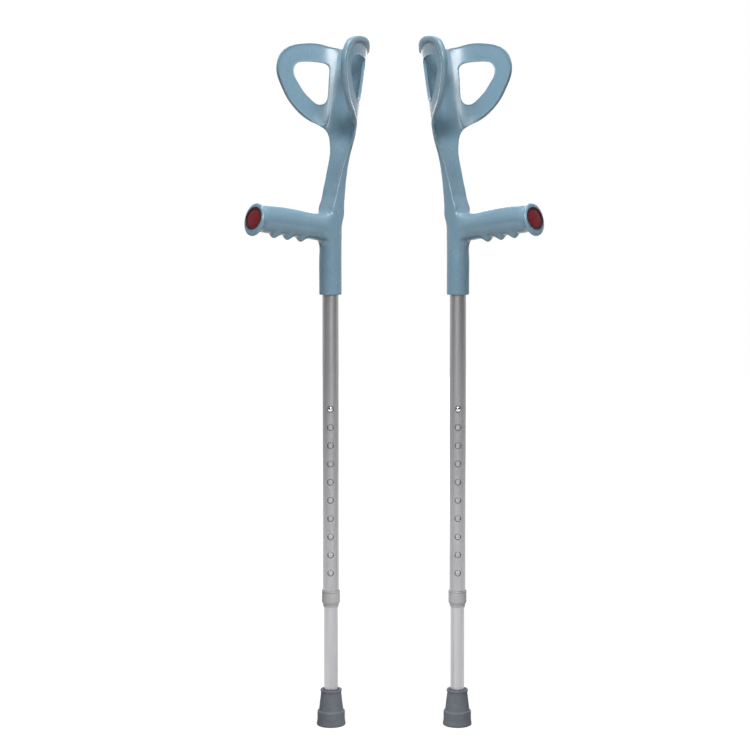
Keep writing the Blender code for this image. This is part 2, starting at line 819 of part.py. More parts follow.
def material_for(piece):
    """The piece's own material."""
    finish = FINISHES[piece]
    material = bpy.data.materials.new(piece)
    material.use_nodes = True
    shader = material.node_tree.nodes["Principled BSDF"]
    shader.inputs["Base Color"].default_value = (*finish.colour, 1.0)
    shader.inputs["Roughness"].default_value = finish.roughness
    shader.inputs["Metallic"].default_value = finish.metallic
    return material


def empty(name, parent=None, place=None):
    """A named empty to hang pieces from."""
    holder = bpy.data.objects.new(name, None)
    bpy.context.collection.objects.link(holder)
    holder.parent = parent
    if place is not None:
        holder.matrix_local = place
    return holder


def piece(name, mesh, parent, place):
    """One named sub-part, parented and placed."""
    item = bpy.data.objects.new(name, mesh)
    bpy.context.collection.objects.link(item)
    item.parent = parent
    item.matrix_local = place
    return item


def build_crutch(side, meshes):
    """One crutch: side is -1 for the left one, on -X, and +1 for its mirror image."""
    name = "left" if side < 0 else "right"
    heading = -math.pi / 2.0 + side * GRIP_HEADING
    stand = Matrix.Translation((side * TUBE_SPACING / 2.0, 0.0, 0.0))
    crutch = empty(name + "_crutch", place=stand @ Matrix.Rotation(heading, 4, "Z"))
    tubes = empty(name + "_tubes", crutch, Matrix.Rotation(-side * GRIP_HEADING, 4, "Z"))
    leg = empty(name + "_leg", tubes, Matrix.Identity(4))
    handle_place = Matrix.Translation((0.0, 0.0, SLEEVE_BOTTOM))
    button_place = Matrix.Translation((0.0, 0.0, BUTTON_HEIGHT))
    places = {
        "handle": (crutch, handle_place),
        "reflector_base": (crutch, handle_place @ end_frame()),
        "reflector_lens": (crutch, handle_place @ end_frame()),
        "upper_tube": (tubes, Matrix.Identity(4)),
        "tube_collar": (tubes, Matrix.Identity(4)),
        "lower_tube": (leg, Matrix.Identity(4)),
        "guide_bush": (leg, Matrix.Identity(4)),
        "button_spring": (leg, Matrix.Identity(4)),
        "snap_button": (leg, button_place @ Matrix.Rotation(math.pi / 2.0, 4, "Y")),
        "ferrule": (leg, Matrix.Identity(4)),
        "ferrule_washer": (leg, Matrix.Identity(4)),
    }
    for key, (parent, place) in places.items():
        piece(name + "_" + key, meshes[key], parent, place)
    return crutch


def centre_on_origin(crutches):
    """Move the pair along Y so that the middle of its bounds stands over the origin."""
    bpy.context.view_layer.update()
    depths = [
        (item.matrix_world @ vertex.co).y
        for item in bpy.data.objects
        if item.type == "MESH"
        for vertex in item.data.vertices
    ]
    middle = (min(depths) + max(depths)) / 2.0
    for crutch in crutches:
        crutch.location.y -= middle
    bpy.context.view_layer.update()


def build():
    """Build the pair."""
    clear_scene()
    meshes = {
        "handle": handle_mesh(),
        "reflector_base": reflector_base_mesh(),
        "reflector_lens": reflector_lens_mesh(),
        "upper_tube": upper_tube_mesh(),
        "tube_collar": tube_collar_mesh(),
        "lower_tube": lower_tube_mesh(),
        "guide_bush": guide_bush_mesh(),
        "button_spring": button_spring_mesh(),
        "snap_button": snap_button_mesh(),
        "ferrule": ferrule_mesh(),
        "ferrule_washer": ferrule_washer_mesh(),
    }
    for key, mesh in meshes.items():
        mesh.materials.clear()
        mesh.materials.append(material_for(key))
    centre_on_origin([build_crutch(side, meshes) for side in (-1, 1)])


build()
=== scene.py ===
"""Dresses the pair of height-adjustable elbow crutches and sets it in a plain studio.

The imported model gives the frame: where each crutch stands and which body each piece rides on.
Lengths are in metres, +Z is up, and the pair faces -Y. Handles are shaped from the sleeve's bottom
end on the tube's axis, with +X along the grip, reflectors about the middle of the grip's end face,
buttons about their own axis, and the rest about the tube's axis from the floor up. Each piece is
moved to its crutch in its mesh, so every object stays at the origin.
"""
from __future__ import annotations

import logging
import math
import sys
from dataclasses import dataclass, field
from enum import Enum
from typing import Any, Callable, Optional, Sequence, Union

import bmesh
import bpy
import numpy as np
from bpy.types import ID, Material, Mesh, Node, NodeSocket, NodeTree, Object
from mathutils import Matrix, Vector

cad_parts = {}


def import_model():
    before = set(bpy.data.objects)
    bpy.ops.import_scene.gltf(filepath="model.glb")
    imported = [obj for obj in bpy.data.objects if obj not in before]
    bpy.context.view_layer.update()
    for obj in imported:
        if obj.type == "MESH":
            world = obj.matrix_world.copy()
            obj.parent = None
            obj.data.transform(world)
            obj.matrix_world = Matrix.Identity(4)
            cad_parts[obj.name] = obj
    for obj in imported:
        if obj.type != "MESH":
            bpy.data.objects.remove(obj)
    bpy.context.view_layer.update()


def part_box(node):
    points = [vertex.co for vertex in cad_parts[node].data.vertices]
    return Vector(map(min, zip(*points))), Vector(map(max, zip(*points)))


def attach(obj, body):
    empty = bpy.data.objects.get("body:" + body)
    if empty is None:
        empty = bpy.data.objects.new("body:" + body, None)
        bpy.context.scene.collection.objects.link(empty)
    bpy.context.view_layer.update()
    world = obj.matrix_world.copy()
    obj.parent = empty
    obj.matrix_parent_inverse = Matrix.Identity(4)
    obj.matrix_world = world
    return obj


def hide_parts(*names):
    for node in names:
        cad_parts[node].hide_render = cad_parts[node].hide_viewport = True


LOG = logging.getLogger("crutches")

Triple = tuple[float, float, float]
Number = Union[float, "Value"]
Options = Optional[dict[Any, Any]]

SEAT_GAP = 0.0003
TUBE_FACETS = 96
SHARP_TURN = math.radians(35.0)
LOWER_RADIUS = 0.0095
BUTTON_HEIGHT = 0.4370
HOLE_PITCH = 0.0250
HOLE_COUNT = 10
EDGE_WEAR_AND_HIGHLIGHT = "edge_wear"
HANDLED = "handled"


class Side(Enum):
    """The two crutches of the pair, and the sign of X where each one stands."""

    LEFT = -1
    RIGHT = 1

    def named(self, piece: str) -> str:
        """Name of this side's own piece or body."""
        return f"{self.name.lower()}_{piece}"


class Body(Enum):
    """What a piece moves with."""

    UPPERS = "uppers"
    LEG = "leg"
    BUTTON = "button"

    def of(self, side: Side) -> str:
        """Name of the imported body, of which both crutches share the upper one."""
        return self.value if self is Body.UPPERS else side.named(self.value)


class Frame(Enum):
    """What a piece's mesh is made about."""

    SLEEVE = 1
    GRIP_END = 2
    TUBE = 3
    BUTTON = 4


class Slot(Enum):
    """The record's material slots, each with what its pieces are made about and what they move with.

    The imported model's nodes are named like the slots.
    """

    HANDLE = ("handle", Frame.SLEEVE, Body.UPPERS)
    REFLECTOR_BASE = ("reflector_base", Frame.GRIP_END, Body.UPPERS)
    REFLECTOR_LENS = ("reflector_lens", Frame.GRIP_END, Body.UPPERS)
    UPPER_TUBE = ("upper_tube", Frame.TUBE, Body.UPPERS)
    TUBE_COLLAR = ("tube_collar", Frame.TUBE, Body.UPPERS)
    LOWER_TUBE = ("lower_tube", Frame.TUBE, Body.LEG)
    GUIDE_BUSH = ("guide_bush", Frame.TUBE, Body.LEG)
    BUTTON_SPRING = ("button_spring", Frame.TUBE, Body.LEG)
    SNAP_BUTTON = ("snap_button", Frame.BUTTON, Body.BUTTON)
    FERRULE = ("ferrule", Frame.TUBE, Body.LEG)
    FERRULE_WASHER = ("ferrule_washer", Frame.TUBE, Body.LEG)

    def __init__(self, label: str, frame: Frame, body: Body) -> None:
        """Keep what belongs to the slot."""
        self.label, self.frame, self.body = label, frame, body


class NodeGraph:
    """Adds nodes to one shader or geometry tree."""

    def __init__(self, tree: NodeTree) -> None:
        """Work on a tree."""
        self.tree = tree

    def feed(self, socket: NodeSocket, value: Any) -> None:
        """Link or set one input.

        Args:
            socket: the input.
            value: a plain value, or a node, a socket or a Value to link from.
        """
        if isinstance(value, Value):
            value = value.socket
        if isinstance(value, Node):
            value = value.outputs[0]
        if isinstance(value, NodeSocket):
            self.tree.links.new(value, socket)
        else:
            socket.default_value = value

    def node(self, kind: str, settings: Options = None, inputs: Options = None, **named: Any) -> Node:
        """Make any node.

        Args:
            kind: the node's type.
            settings: its properties by name, and a ramp's colours as "stops".
            inputs: values or links by the input's name or place.
            named: the same by name, with underscores for its spaces.

        Returns:
            The new node.
        """
        made = self.tree.nodes.new(kind)
        for name, setting in (settings or {}).items():
            if name == "stops":
                ramp = made.color_ramp
                while len(ramp.elements) > 1:
                    ramp.elements.remove(ramp.elements[-1])
                ramp.elements[0].position, ramp.elements[0].color = setting[0]
                for position, colour in setting[1:]:
                    ramp.elements.new(position).color = colour
            else:
                setattr(made, name, setting)
        plain = {name.replace("_", " "): value for name, value in named.items()}
        for name, value in {**(inputs or {}), **plain}.items():
            self.feed(made.inputs[name], value)
        return made

    def value(self, kind: str, settings: Options = None, inputs: Options = None, **named: Any) -> Value:
        """Make a node and return its first output as a number."""
        return Value(self, self.node(kind, settings, inputs, **named).outputs[0])

    def axes(self, vector: Any) -> list[Value]:
        """A vector's X, Y and Z as numbers."""
        return [Value(self, axis) for axis in self.node("ShaderNodeSeparateXYZ", Vector=vector).outputs]

    def length(self, vector: Any) -> Value:
        """A vector's length."""
        measured = self.node("ShaderNodeVectorMath", {"operation": "LENGTH"}, {0: vector})
        return Value(self, measured.outputs["Value"])


def operator(name: str, reflected: bool = False) -> Callable[[Value, Number], Value]:
    """A Python operator that adds a Math node.

    Args:
        name: the node's operation.
        reflected: whether the other number stands first.

    Returns:
        The operator's method.
    """
    def act(self: Value, other: Number) -> Value:
        """The result of the operation on both numbers."""
        return self._math(name, *((other, self) if reflected else (self, other)))

    return act


@dataclass(frozen=True)
class Value:
    """A number in a node tree. Python's operators on it add Math nodes."""

    graph: NodeGraph
    socket: NodeSocket

    def _math(self, operation: str, *numbers: Number, clamp: bool = False) -> Value:
        """Add one Math node on these numbers, whose result may be kept between 0 and 1."""
        settings = {"operation": operation, "use_clamp": clamp}
        return self.graph.value("ShaderNodeMath", settings, dict(enumerate(numbers)))

    __add__, __radd__ = operator("ADD"), operator("ADD", reflected=True)
    __sub__, __rsub__ = operator("SUBTRACT"), operator("SUBTRACT", reflected=True)
    __mul__, __rmul__ = operator("MULTIPLY"), operator("MULTIPLY", reflected=True)
    __truediv__, __rtruediv__ = operator("DIVIDE"), operator("DIVIDE", reflected=True)

    def fraction(self) -> Value:
        """What follows the point."""
        return self._math("FRACT", self)

    def root(self) -> Value:
        """Square root."""
        return self._math("SQRT", self)

    def clamped(self) -> Value:
        """The same, kept between 0 and 1."""
        return self._math("ADD", self, 0.0, clamp=True)

    def ramp(self, low: float, high: float) -> Value:
        """A smooth rise from 0 to 1.

        Args:
            low: where it is 0.
            high: where it is 1. It may lie below low.

        Returns:
            The smoothed value.
        """
        ends = (0.0, 1.0) if low <= high else (1.0, 0.0)
        settings = {"data_type": "FLOAT", "interpolation_type": "SMOOTHSTEP", "clamp": True}
        inputs = dict(enumerate((self, min(low, high), max(low, high), *ends)))
        return self.graph.value("ShaderNodeMapRange", settings, inputs)


@dataclass(frozen=True)
class Finish:
    """What every finish has. Each kind adds its own marks to it."""

    name: str
    colour: Triple
    roughness: float


class FinishGraph(NodeGraph):
    """One material's nodes, in the object's own coordinates, with its colour so far."""

    def __init__(self, finish: Finish, start: float = 1.0) -> None:
        """Start a material with a Principled shader.

        Args:
            finish: gives its name and plain colour.
            start: how much lighter or darker the colour is that it starts with.
        """
        self.material = bpy.data.materials.new(finish.name)
        self.material.use_nodes = True
        super().__init__(self.material.node_tree)
        self.place = self.node("ShaderNodeTexCoord").outputs["Object"]
        self.plain = finish.colour
        self.colour: Any = self._shade(start)

    def _shade(self, share: float) -> tuple[float, ...]:
        """The finish's plain colour, made lighter or darker by a share."""
        return (*(min(1.0, part * share) for part in self.plain), 1.0)

    def tint(self, amount: Number, share: float) -> None:
        """Mix a shade of the plain colour into the colour so far.

        Args:
            amount: how much of it, from 0 to 1.
            share: how much lighter or darker than the plain colour it is.
        """
        settings = {"data_type": "RGBA", "blend_type": "MIX"}
        inputs = {0: amount, 6: self.colour, 7: self._shade(share)}
        self.colour = self.node("ShaderNodeMix", settings, inputs).outputs[2]

    def noise(
        self, size: float, detail: float = 2.0, stretch: Triple = (1.0, 1.0, 1.0), distortion: float = 0.0
    ) -> Value:
        """Soft random values.

        Args:
            size: how far apart the spots lie, in metres.
            detail: octaves of finer noise.
            stretch: how much longer the spots are along each axis.
            distortion: how far they are pulled about.

        Returns:
            A value about 0.5, from 0 to 1.
        """
        scale = tuple(1.0 / (size * share) for share in stretch)
        place = self.node("ShaderNodeMapping", Vector=self.place, Scale=scale)
        inputs = {"Vector": place, "Scale": 1.0, "Detail": detail, "Distortion": distortion}
        return self.value("ShaderNodeTexNoise", None, inputs)

    def attribute(self, name: str) -> Value:
        """A value that the mesh carries."""
        return Value(self, self.node("ShaderNodeAttribute", {"attribute_name": name}).outputs["Fac"])

    def bump(self, height: Value, depth: float, strength: float, **under: Any) -> NodeSocket:
        """The normal of a height from 0 to 1 that is so many metres deep, on a coarser Normal."""
        made = self.node("ShaderNodeBump", Height=height, Distance=depth, Strength=strength, **under)
        return made.outputs[0]

    def finish(self, **sockets: Any) -> Material:
        """Feed the shader the colour and other sockets.

        Args:
            sockets: values or links by the socket's name, with underscores for its spaces.

        Returns:
            The material.
        """
        shader = self.tree.nodes["Principled BSDF"]
        for name, value in {"Base_Color": self.colour, **sockets}.items():
            self.feed(shader.inputs[name.replace("_", " ")], value)
        return self.material


@dataclass(frozen=True)
class MouldedPlastic(Finish):
    """Satin moulded plastic: faint flow marks, a fine grain, scratches, and duller edges made paler by wear
    and a painted highlight.
    """

    mottling: float = 0.05
    worn: bool = False

    def material(self) -> Material:
        """The material of this finish.

        Returns:
            A new material.
        """
        graph = FinishGraph(self, 1.0 - self.mottling)
        flow = graph.noise(0.045, 3.0, (1.0, 1.0, 1.8), 0.6)
        smudges = graph.noise(0.022).ramp(0.45, 0.75)
        graph.tint(flow.ramp(0.3, 0.7), 1.0 + self.mottling)
        graph.tint(graph.noise(0.0011).ramp(0.62, 0.8) * 0.25, 1.12)
        roughness = self.roughness + 0.03 * flow + 0.025 * smudges
        if self.worn:
            # Paler, rougher convex edges: partly wear, partly a painted highlight along the edges.
            worn = (graph.attribute(EDGE_WEAR_AND_HIGHLIGHT) * graph.noise(0.004, 3.0).ramp(0.3, 0.6)).clamped()
            graph.tint(worn * 0.35, 1.45)
            roughness = roughness + 0.08 * worn - 0.07 * graph.attribute(HANDLED)
        lines = graph.noise(0.0004, 1.0, (45.0, 1.0, 1.0), 0.2).ramp(0.72, 0.80)
        scratches = lines * graph.noise(0.03, 1.0).ramp(0.50, 0.70)
        graph.tint(scratches * 0.14, 1.25)
        sink = graph.bump(flow, 0.0003, 0.25)
        normal = graph.bump(graph.noise(0.0005, 1.0) - 0.6 * scratches, 0.00001, 0.3, Normal=sink)
        return graph.finish(Roughness=roughness, Normal=normal, Specular_IOR_Level=0.5)


@dataclass(frozen=True)
class DrawnTube(Finish):
    """Satin anodised aluminium: drawing streaks, rubbing where it slides, wear round the holes, and painted
    shade in them.
    """

    rubbed: tuple[float, ...] = ()
    drilled: bool = False
    front: tuple[float, float] = (0.030, 0.024)

    def material(self) -> Material:
        """The material of this finish.

        Returns:
            A new material.
        """
        graph = FinishGraph(self, 0.86)
        streaks = graph.noise(0.0006, 3.0, (1.0, 1.0, 160.0))
        broad = graph.noise(0.004, 2.0, (1.0, 1.0, 60.0))
        cloud = graph.noise(0.03, 3.0, (1.0, 1.0, 2.5))
        graph.tint((0.55 * streaks + 0.45 * broad).ramp(0.3, 0.7), 1.08)
        graph.tint(cloud.ramp(0.45, 0.75) * 0.25, 0.84)
        roughness = self.roughness + 0.09 * streaks + 0.06 * cloud
        if self.rubbed:
            low, high = self.rubbed
            height = graph.axes(graph.place)[2]
            inside = height.ramp(low, low + 0.012) * height.ramp(high, high - 0.012)
            rubbed = inside * graph.noise(0.0009, 2.0, (1.0, 1.0, 30.0), 0.4).ramp(0.58, 0.7)
            graph.tint(rubbed * 0.4, 1.25)
            roughness = roughness - 0.1 * rubbed
        if self.drilled:
            distance, row = self._holes(graph)
            worn = distance.ramp(0.0060, 0.0048) * row
            graph.tint(worn * 0.25, 1.25)
            roughness = roughness - 0.05 * worn
            # Painted shade: the holes' walls and a thin ring round their edges are made nearly black.
            graph.tint(distance.ramp(0.0050, 0.0041) * row, 0.16)
        normal = graph.bump(streaks, 0.000025, 0.5)
        return graph.finish(Metallic=0.85, Roughness=roughness, Normal=normal)

    def _holes(self, graph: FinishGraph) -> tuple[Value, Value]:
        """Where the height holes are.

        Args:
            graph: the material's nodes.

        Returns:
            The distance from the nearest hole's middle, and 1 where the row of holes is.
        """
        across, depth, height = graph.axes(graph.place)
        low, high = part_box("right_lower_tube")
        from_axis = (across * across).root() - abs(low.x + high.x) / 2.0
        turns = (height - BUTTON_HEIGHT) / HOLE_PITCH + 0.5
        from_hole = (turns.fraction() - 0.5) * HOLE_PITCH
        distance = (from_axis * from_axis + from_hole * from_hole).root()
        top, end = BUTTON_HEIGHT + 0.012, BUTTON_HEIGHT - HOLE_PITCH * (HOLE_COUNT - 0.5)
        row = height.ramp(top + 0.001, top - 0.001) * height.ramp(end - 0.001, end + 0.001)
        return distance, depth.ramp(*self.front) * row


@dataclass(frozen=True)
class PolishedSteel(Finish):
    """Bright steel with fine random scratches."""

    def material(self) -> Material:
        """The material of this finish.

        Returns:
            A new material.
        """
        graph = FinishGraph(self, 0.9)
        cloud = graph.noise(0.003, 3.0)
        hairs = graph.noise(0.0003, 2.0, (1.0, 9.0, 1.0)).ramp(0.55, 0.75)
        graph.tint(cloud.ramp(0.35, 0.7), 1.0)
        roughness = self.roughness + 0.12 * hairs + 0.05 * cloud
        return graph.finish(Metallic=1.0, Roughness=roughness, Normal=graph.bump(hairs, 0.00001, 0.4))


@dataclass(frozen=True)
class MouldedRubber(Finish):
    """Dull grey rubber: mottled, slightly dusty, and darker in patches towards the sole."""

    def material(self) -> Material:
        """The material of this finish.

        Returns:
            A new material.
        """
        graph = FinishGraph(self, 0.93)
        cloud = graph.noise(0.009, 4.0, distortion=0.5)
        dust = graph.noise(0.0022, 4.0).ramp(0.5, 0.75)
        sole = graph.axes(graph.place)[2].ramp(0.007, 0.0)
        graph.tint(cloud.ramp(0.3, 0.7), 1.06)
        graph.tint(dust * 0.2, 1.5)
        graph.tint(sole * cloud * 0.6, 0.6)
        sink = graph.bump(cloud, 0.0004, 0.3)
        pores = graph.bump(graph.noise(0.0006, 3.0), 0.00009, 0.6, Normal=sink)
        return graph.finish(Roughness=self.roughness + 0.12 * dust, Normal=pores, Specular_IOR_Level=0.35)


@dataclass(frozen=True)
class ReflectorRed(Finish):
    """Clear red plastic over small prisms, glossy on top, with painted glints."""

    def material(self) -> Material:
        """The material of this finish.

        Returns:
            A new material.
        """
        graph = FinishGraph(self, 1.25)
        place = graph.node("ShaderNodeMapping", Vector=graph.place)
        settings = {"feature": "F1", "distance": "EUCLIDEAN"}
        depth = graph.value("ShaderNodeTexVoronoi", settings, Vector=place, Scale=900.0, Randomness=0.35)
        graph.tint(depth.ramp(0.15, 0.6), 0.72)
        # Painted glints: scattered patches of the disc are made much lighter.
        graph.tint(graph.noise(0.0035).ramp(0.5, 0.7) * 0.3, 1.8)
        gloss = {"Specular_IOR_Level": 0.3, "Coat_Weight": 0.15, "Coat_Roughness": 0.08}
        normal = graph.bump(depth, 0.0001, 0.35)
        return graph.finish(Roughness=self.roughness + 0.1 * depth, Normal=normal, **gloss)


FINISHES = {
    Slot.HANDLE: MouldedPlastic("handle_plastic", (0.190, 0.312, 0.400), 0.25, 0.04, worn=True),
    Slot.REFLECTOR_BASE: MouldedPlastic("reflector_cup_plastic", (0.030, 0.006, 0.010), 0.40),
    Slot.REFLECTOR_LENS: ReflectorRed("reflector_red", (0.200, 0.008, 0.014), 0.22),
    Slot.UPPER_TUBE: DrawnTube("upper_tube_anodised", (0.50, 0.497, 0.515), 0.29, drilled=True),
    Slot.TUBE_COLLAR: MouldedPlastic("collar_plastic", (0.510, 0.510, 0.520), 0.45),
    Slot.LOWER_TUBE: DrawnTube("lower_tube_anodised", (0.575, 0.57, 0.592), 0.32, rubbed=(0.165, 0.40)),
    Slot.GUIDE_BUSH: MouldedPlastic("guide_plastic", (0.300, 0.300, 0.310), 0.50),
    Slot.BUTTON_SPRING: PolishedSteel("spring_steel", (0.50, 0.50, 0.52), 0.28),
    Slot.SNAP_BUTTON: PolishedSteel("button_steel", (0.72, 0.72, 0.73), 0.10),
    Slot.FERRULE: MouldedRubber("foot_rubber", (0.165, 0.182, 0.208), 0.72),
    Slot.FERRULE_WASHER: PolishedSteel("washer_steel", (0.55, 0.55, 0.56), 0.36),
}


class Cage:
    """Control cage of a smooth surface."""

    def __init__(self) -> None:
        """Start with nothing."""
        self.points: list[Vector] = []
        self.faces: list[tuple[int, ...]] = []
        self.creases: dict[tuple[int, int], float] = {}

    def add(self, point: Sequence[float]) -> int:
        """Store a point that the finished surface should pass, and return its index."""
        self.points.append(Vector(point))
        return len(self.points) - 1

    def bridge(self, ring: Sequence[int], following: Sequence[int], skip: Sequence[int] = ()) -> None:
        """Join two closed rings of equal length.

        Args:
            ring: the first ring.
            following: the second ring.
            skip: sides that get no face.
        """
        for side in range(len(ring)):
            if side not in skip:
                after = (side + 1) % len(ring)
                self.faces.append((ring[side], ring[after], following[after], following[side]))

    def strips(self, *rows: Sequence[int]) -> None:
        """Join open rows of equal length, each to the next."""
        for row, following in zip(rows, rows[1:]):
            self.bridge(row, following, (len(row) - 1,))

    def cap(self, ring: Sequence[int]) -> None:
        """Close a ring of sixteen with a grid of five by three faces.

        Args:
            ring: six points along one side, two round the turn, six back and two round.
        """
        high, low = ring[:6], ring[13:7:-1]
        rows = [high]
        for left, right, share in ((ring[15], ring[6], 1.0 / 3.0), (ring[14], ring[7], 2.0 / 3.0)):
            ends = [(self.points[top], self.points[under]) for top, under in zip(high[1:5], low[1:5])]
            rows.append([left, *(self.add(top.lerp(under, share)) for top, under in ends), right])
        self.strips(*rows, low)

    def crease(self, chain: Sequence[int], sharpness: Sequence[float]) -> None:
        """Keep a line of edges sharp, each by its own share from 0 to 1."""
        for start, end, value in zip(chain, chain[1:], sharpness):
            self.creases[(min(start, end), max(start, end))] = value

    def fitted(self, rounds: int = 5) -> np.ndarray:
        """Move the cage so that its smoothed surface runs through the points asked for.

        Args:
            rounds: how often the remaining distance is added.

        Returns:
            The cage's points.
        """
        wanted = np.array([tuple(point) for point in self.points])
        faces = np.array(self.faces)
        valence = np.bincount(faces.ravel(), minlength=len(wanted)).astype(float)[:, None]
        lines: dict[int, list[tuple[int, float]]] = {}
        for (start, end), sharpness in self.creases.items():
            lines.setdefault(start, []).append((end, sharpness))
            lines.setdefault(end, []).append((start, sharpness))
        on_line = [point for point, ends in lines.items() if len(ends) == 2]
        ends = np.array([[lines[point][0][0], lines[point][1][0]] for point in on_line])
        levels = np.array([10.0 * min(end[1] for end in lines[point]) ** 2 for point in on_line])
        kept = (1.0 - 0.5**levels)[:, None]
        cage = wanted.copy()
        for _ in range(rounds):
            sides = np.zeros_like(cage)
            opposite = np.zeros_like(cage)
            for corner in range(4):
                near = cage[faces[:, corner - 1]] + cage[faces[:, (corner + 1) % 4]]
                np.add.at(sides, faces[:, corner], near / 2.0)
                np.add.at(opposite, faces[:, corner], cage[faces[:, (corner + 2) % 4]])
            surface = (valence**2 * cage + 4.0 * sides + opposite) / (valence * (valence + 5.0))
            along = (4.0 * cage[on_line] + cage[ends[:, 0]] + cage[ends[:, 1]]) / 6.0
            surface[on_line] = kept * along + (1.0 - kept) * surface[on_line]
            cage += wanted - surface
        return cage

    def mesh(self, name: str, levels: int) -> Mesh:
        """The smooth surface.

        Args:
            name: the mesh's name.
            levels: how often the cage is subdivided.

        Returns:
            A plain mesh whose faces point outwards.
        """
        graph = bmesh.new()
        corners = [graph.verts.new(point) for point in self.fitted()]
        for face in self.faces:
            graph.faces.new([corners[index] for index in face])
        layer = graph.edges.layers.float.new("crease_edge")
        for (start, end), sharpness in self.creases.items():
            graph.edges.get((corners[start], corners[end]))[layer] = sharpness
        blank = bpy.data.objects.new("blank", outward_mesh(graph, name))
        bpy.context.collection.objects.link(blank)
        smooth = blank.modifiers.new("smooth", "SUBSURF")
        smooth.levels = smooth.render_levels = levels
        return plain_mesh(blank, name)


def outward_mesh(graph: bmesh.types.BMesh, name: str) -> Mesh:
    """Store what bmesh has built, with its faces pointing outwards.

    Args:
        graph: the faces, which are freed.
        name: the mesh's name.

    Returns:
        The mesh.
    """
    bmesh.ops.recalc_face_normals(graph, faces=graph.faces)
    mesh = bpy.data.meshes.new(name)
    graph.to_mesh(mesh)
    graph.free()
    return mesh


def plain_mesh(item: Object, name: str) -> Mesh:
    """Turn an object with modifiers into a mesh, and remove the object.

    Args:
        item: the object.
        name: the mesh's name.

    Returns:
        The evaluated mesh.
    """
    bpy.context.view_layer.update()
    graph = bpy.context.evaluated_depsgraph_get()
    mesh = bpy.data.meshes.new_from_object(item.evaluated_get(graph), depsgraph=graph)
    mesh.name = name
    bpy.data.objects.remove(item, do_unlink=True)
    return mesh


def turned(name: str, corners: Sequence[Triple], steps: int = 4, facets: int = TUBE_FACETS) -> Mesh:
    """Turn a closed outline with rounded corners round Z.

    Args:
        name: the mesh's name.
        corners: radius and height of each corner, and how far back its rounding starts.
        steps: how many facets a rounding gets.
        facets: how many sides the circle gets.

    Returns:
        The turned mesh, with a pole where the radius is 0.
    """
    outline = []
    for index, (radius, height, cut) in enumerate(corners):
        if cut <= 0.0:
            outline.append((radius, height))
            continue
        here = Vector((radius, height))
        before, after = (Vector(corners[near % len(corners)][:2]) - here for near in (index - 1, index + 1))
        start = here + before.normalized() * min(cut, before.length * 0.49)
        end = here + after.normalized() * min(cut, after.length * 0.49)
        for share in [step / steps for step in range(steps + 1)]:
            outline.append(start * (1.0 - share) ** 2 + here * 2.0 * share * (1.0 - share) + end * share**2)
    graph = bmesh.new()
    angles = [math.tau * facet / facets for facet in range(facets)]
    rings = []
    for radius, height in outline:
        if radius < 1e-7:
            rings.append([graph.verts.new((0.0, 0.0, height))] * facets)
        else:
            places = [(radius * math.cos(angle), radius * math.sin(angle), height) for angle in angles]
            rings.append([graph.verts.new(place) for place in places])
    for ring, following in zip(rings, rings[1:] + rings[:1]):
        if ring[0] is not ring[1] or following[0] is not following[1]:
            for facet in range(facets):
                after = (facet + 1) % facets
                face = [ring[facet], ring[after], following[after], following[facet]]
                graph.faces.new(list(dict.fromkeys(face)))
    return outward_mesh(graph, name)


class Recipe(NodeGraph):
    """A Geometry Nodes tree with named sizes, made into plain meshes."""

    def __init__(self, name: str, **sizes: Union[float, int]) -> None:
        """Start the tree.

        Args:
            name: the tree's name.
            sizes: its inputs, by name, with their usual values.
        """
        super().__init__(bpy.data.node_groups.new(name, "GeometryNodeTree"))
        self.sizes = sizes
        face = self.tree.interface
        face.new_socket(name="Geometry", in_out="INPUT", socket_type="NodeSocketGeometry")
        for size, usual in sizes.items():
            kind = "NodeSocketInt" if isinstance(usual, int) else "NodeSocketFloat"
            face.new_socket(name=size, in_out="INPUT", socket_type=kind).default_value = usual
        face.new_socket(name="Material", in_out="INPUT", socket_type="NodeSocketMaterial")
        face.new_socket(name="Geometry", in_out="OUTPUT", socket_type="NodeSocketGeometry")
        self.start = self.node("NodeGroupInput")
        self.end = self.node("NodeGroupOutput")

    def __getitem__(self, size: str) -> Value:
        """One of the tree's sizes, as a number."""
        return Value(self, self.start.outputs[size])

    def vector(self, **parts: Number) -> Node:
        """A vector of the parts X, Y and Z that are given."""
        return self.node("ShaderNodeCombineXYZ", **parts)

    def cylinder(self, vertices: int, radius: Number, depth: Number, **others: Any) -> Node:
        """A closed cylinder."""
        sizes = {"Vertices": vertices, "Radius": radius, "Depth": depth, **others}
        return self.node("GeometryNodeMeshCylinder", {"fill_type": "NGON"}, **sizes)

    def repeated(self, points: Any, instance: Any, turn: Any = (0.0, 0.0, 0.0)) -> Node:
        """The same mesh on every point, turned."""
        return self.node("GeometryNodeInstanceOnPoints", Points=points, Instance=instance, Rotation=turn)

    def cut(self, shape: Any, tool: Any) -> Node:
        """A shape without a tool's volume."""
        settings = {"operation": "DIFFERENCE", "solver": "EXACT"}
        return self.node("GeometryNodeMeshBoolean", settings, Mesh_1=shape, Mesh_2=tool)

    def serve(self, geometry: Any) -> None:
        """End the tree in Realize Instances and Set Material.

        Args:
            geometry: what it has made.
        """
        real = self.node("GeometryNodeRealizeInstances", Geometry=geometry)
        dress = {"Geometry": real, "Material": self.start.outputs["Material"]}
        self.feed(self.end.inputs[0], self.node("GeometryNodeSetMaterial", **dress))

    def mesh(self, name: str, material: Material, base: Optional[ID] = None, **sizes: Any) -> Mesh:
        """Run the tree once.

        Args:
            name: the mesh's name.
            material: what the tree dresses the result with.
            base: a mesh or curve that the tree starts from.
            sizes: inputs that differ from their usual values.

        Returns:
            The result as a plain mesh.
        """
        blank = bpy.data.objects.new("blank", base or bpy.data.meshes.new("blank"))
        modifier = blank.modifiers.new(self.tree.name, "NODES")
        modifier.node_group = self.tree
        inputs = {**self.sizes, **sizes, "Material": material}
        for item in self.tree.interface.items_tree:
            if item.in_out == "INPUT" and item.name in inputs:
                modifier[item.identifier] = inputs[item.name]
        bpy.context.collection.objects.link(blank)
        return plain_mesh(blank, name)


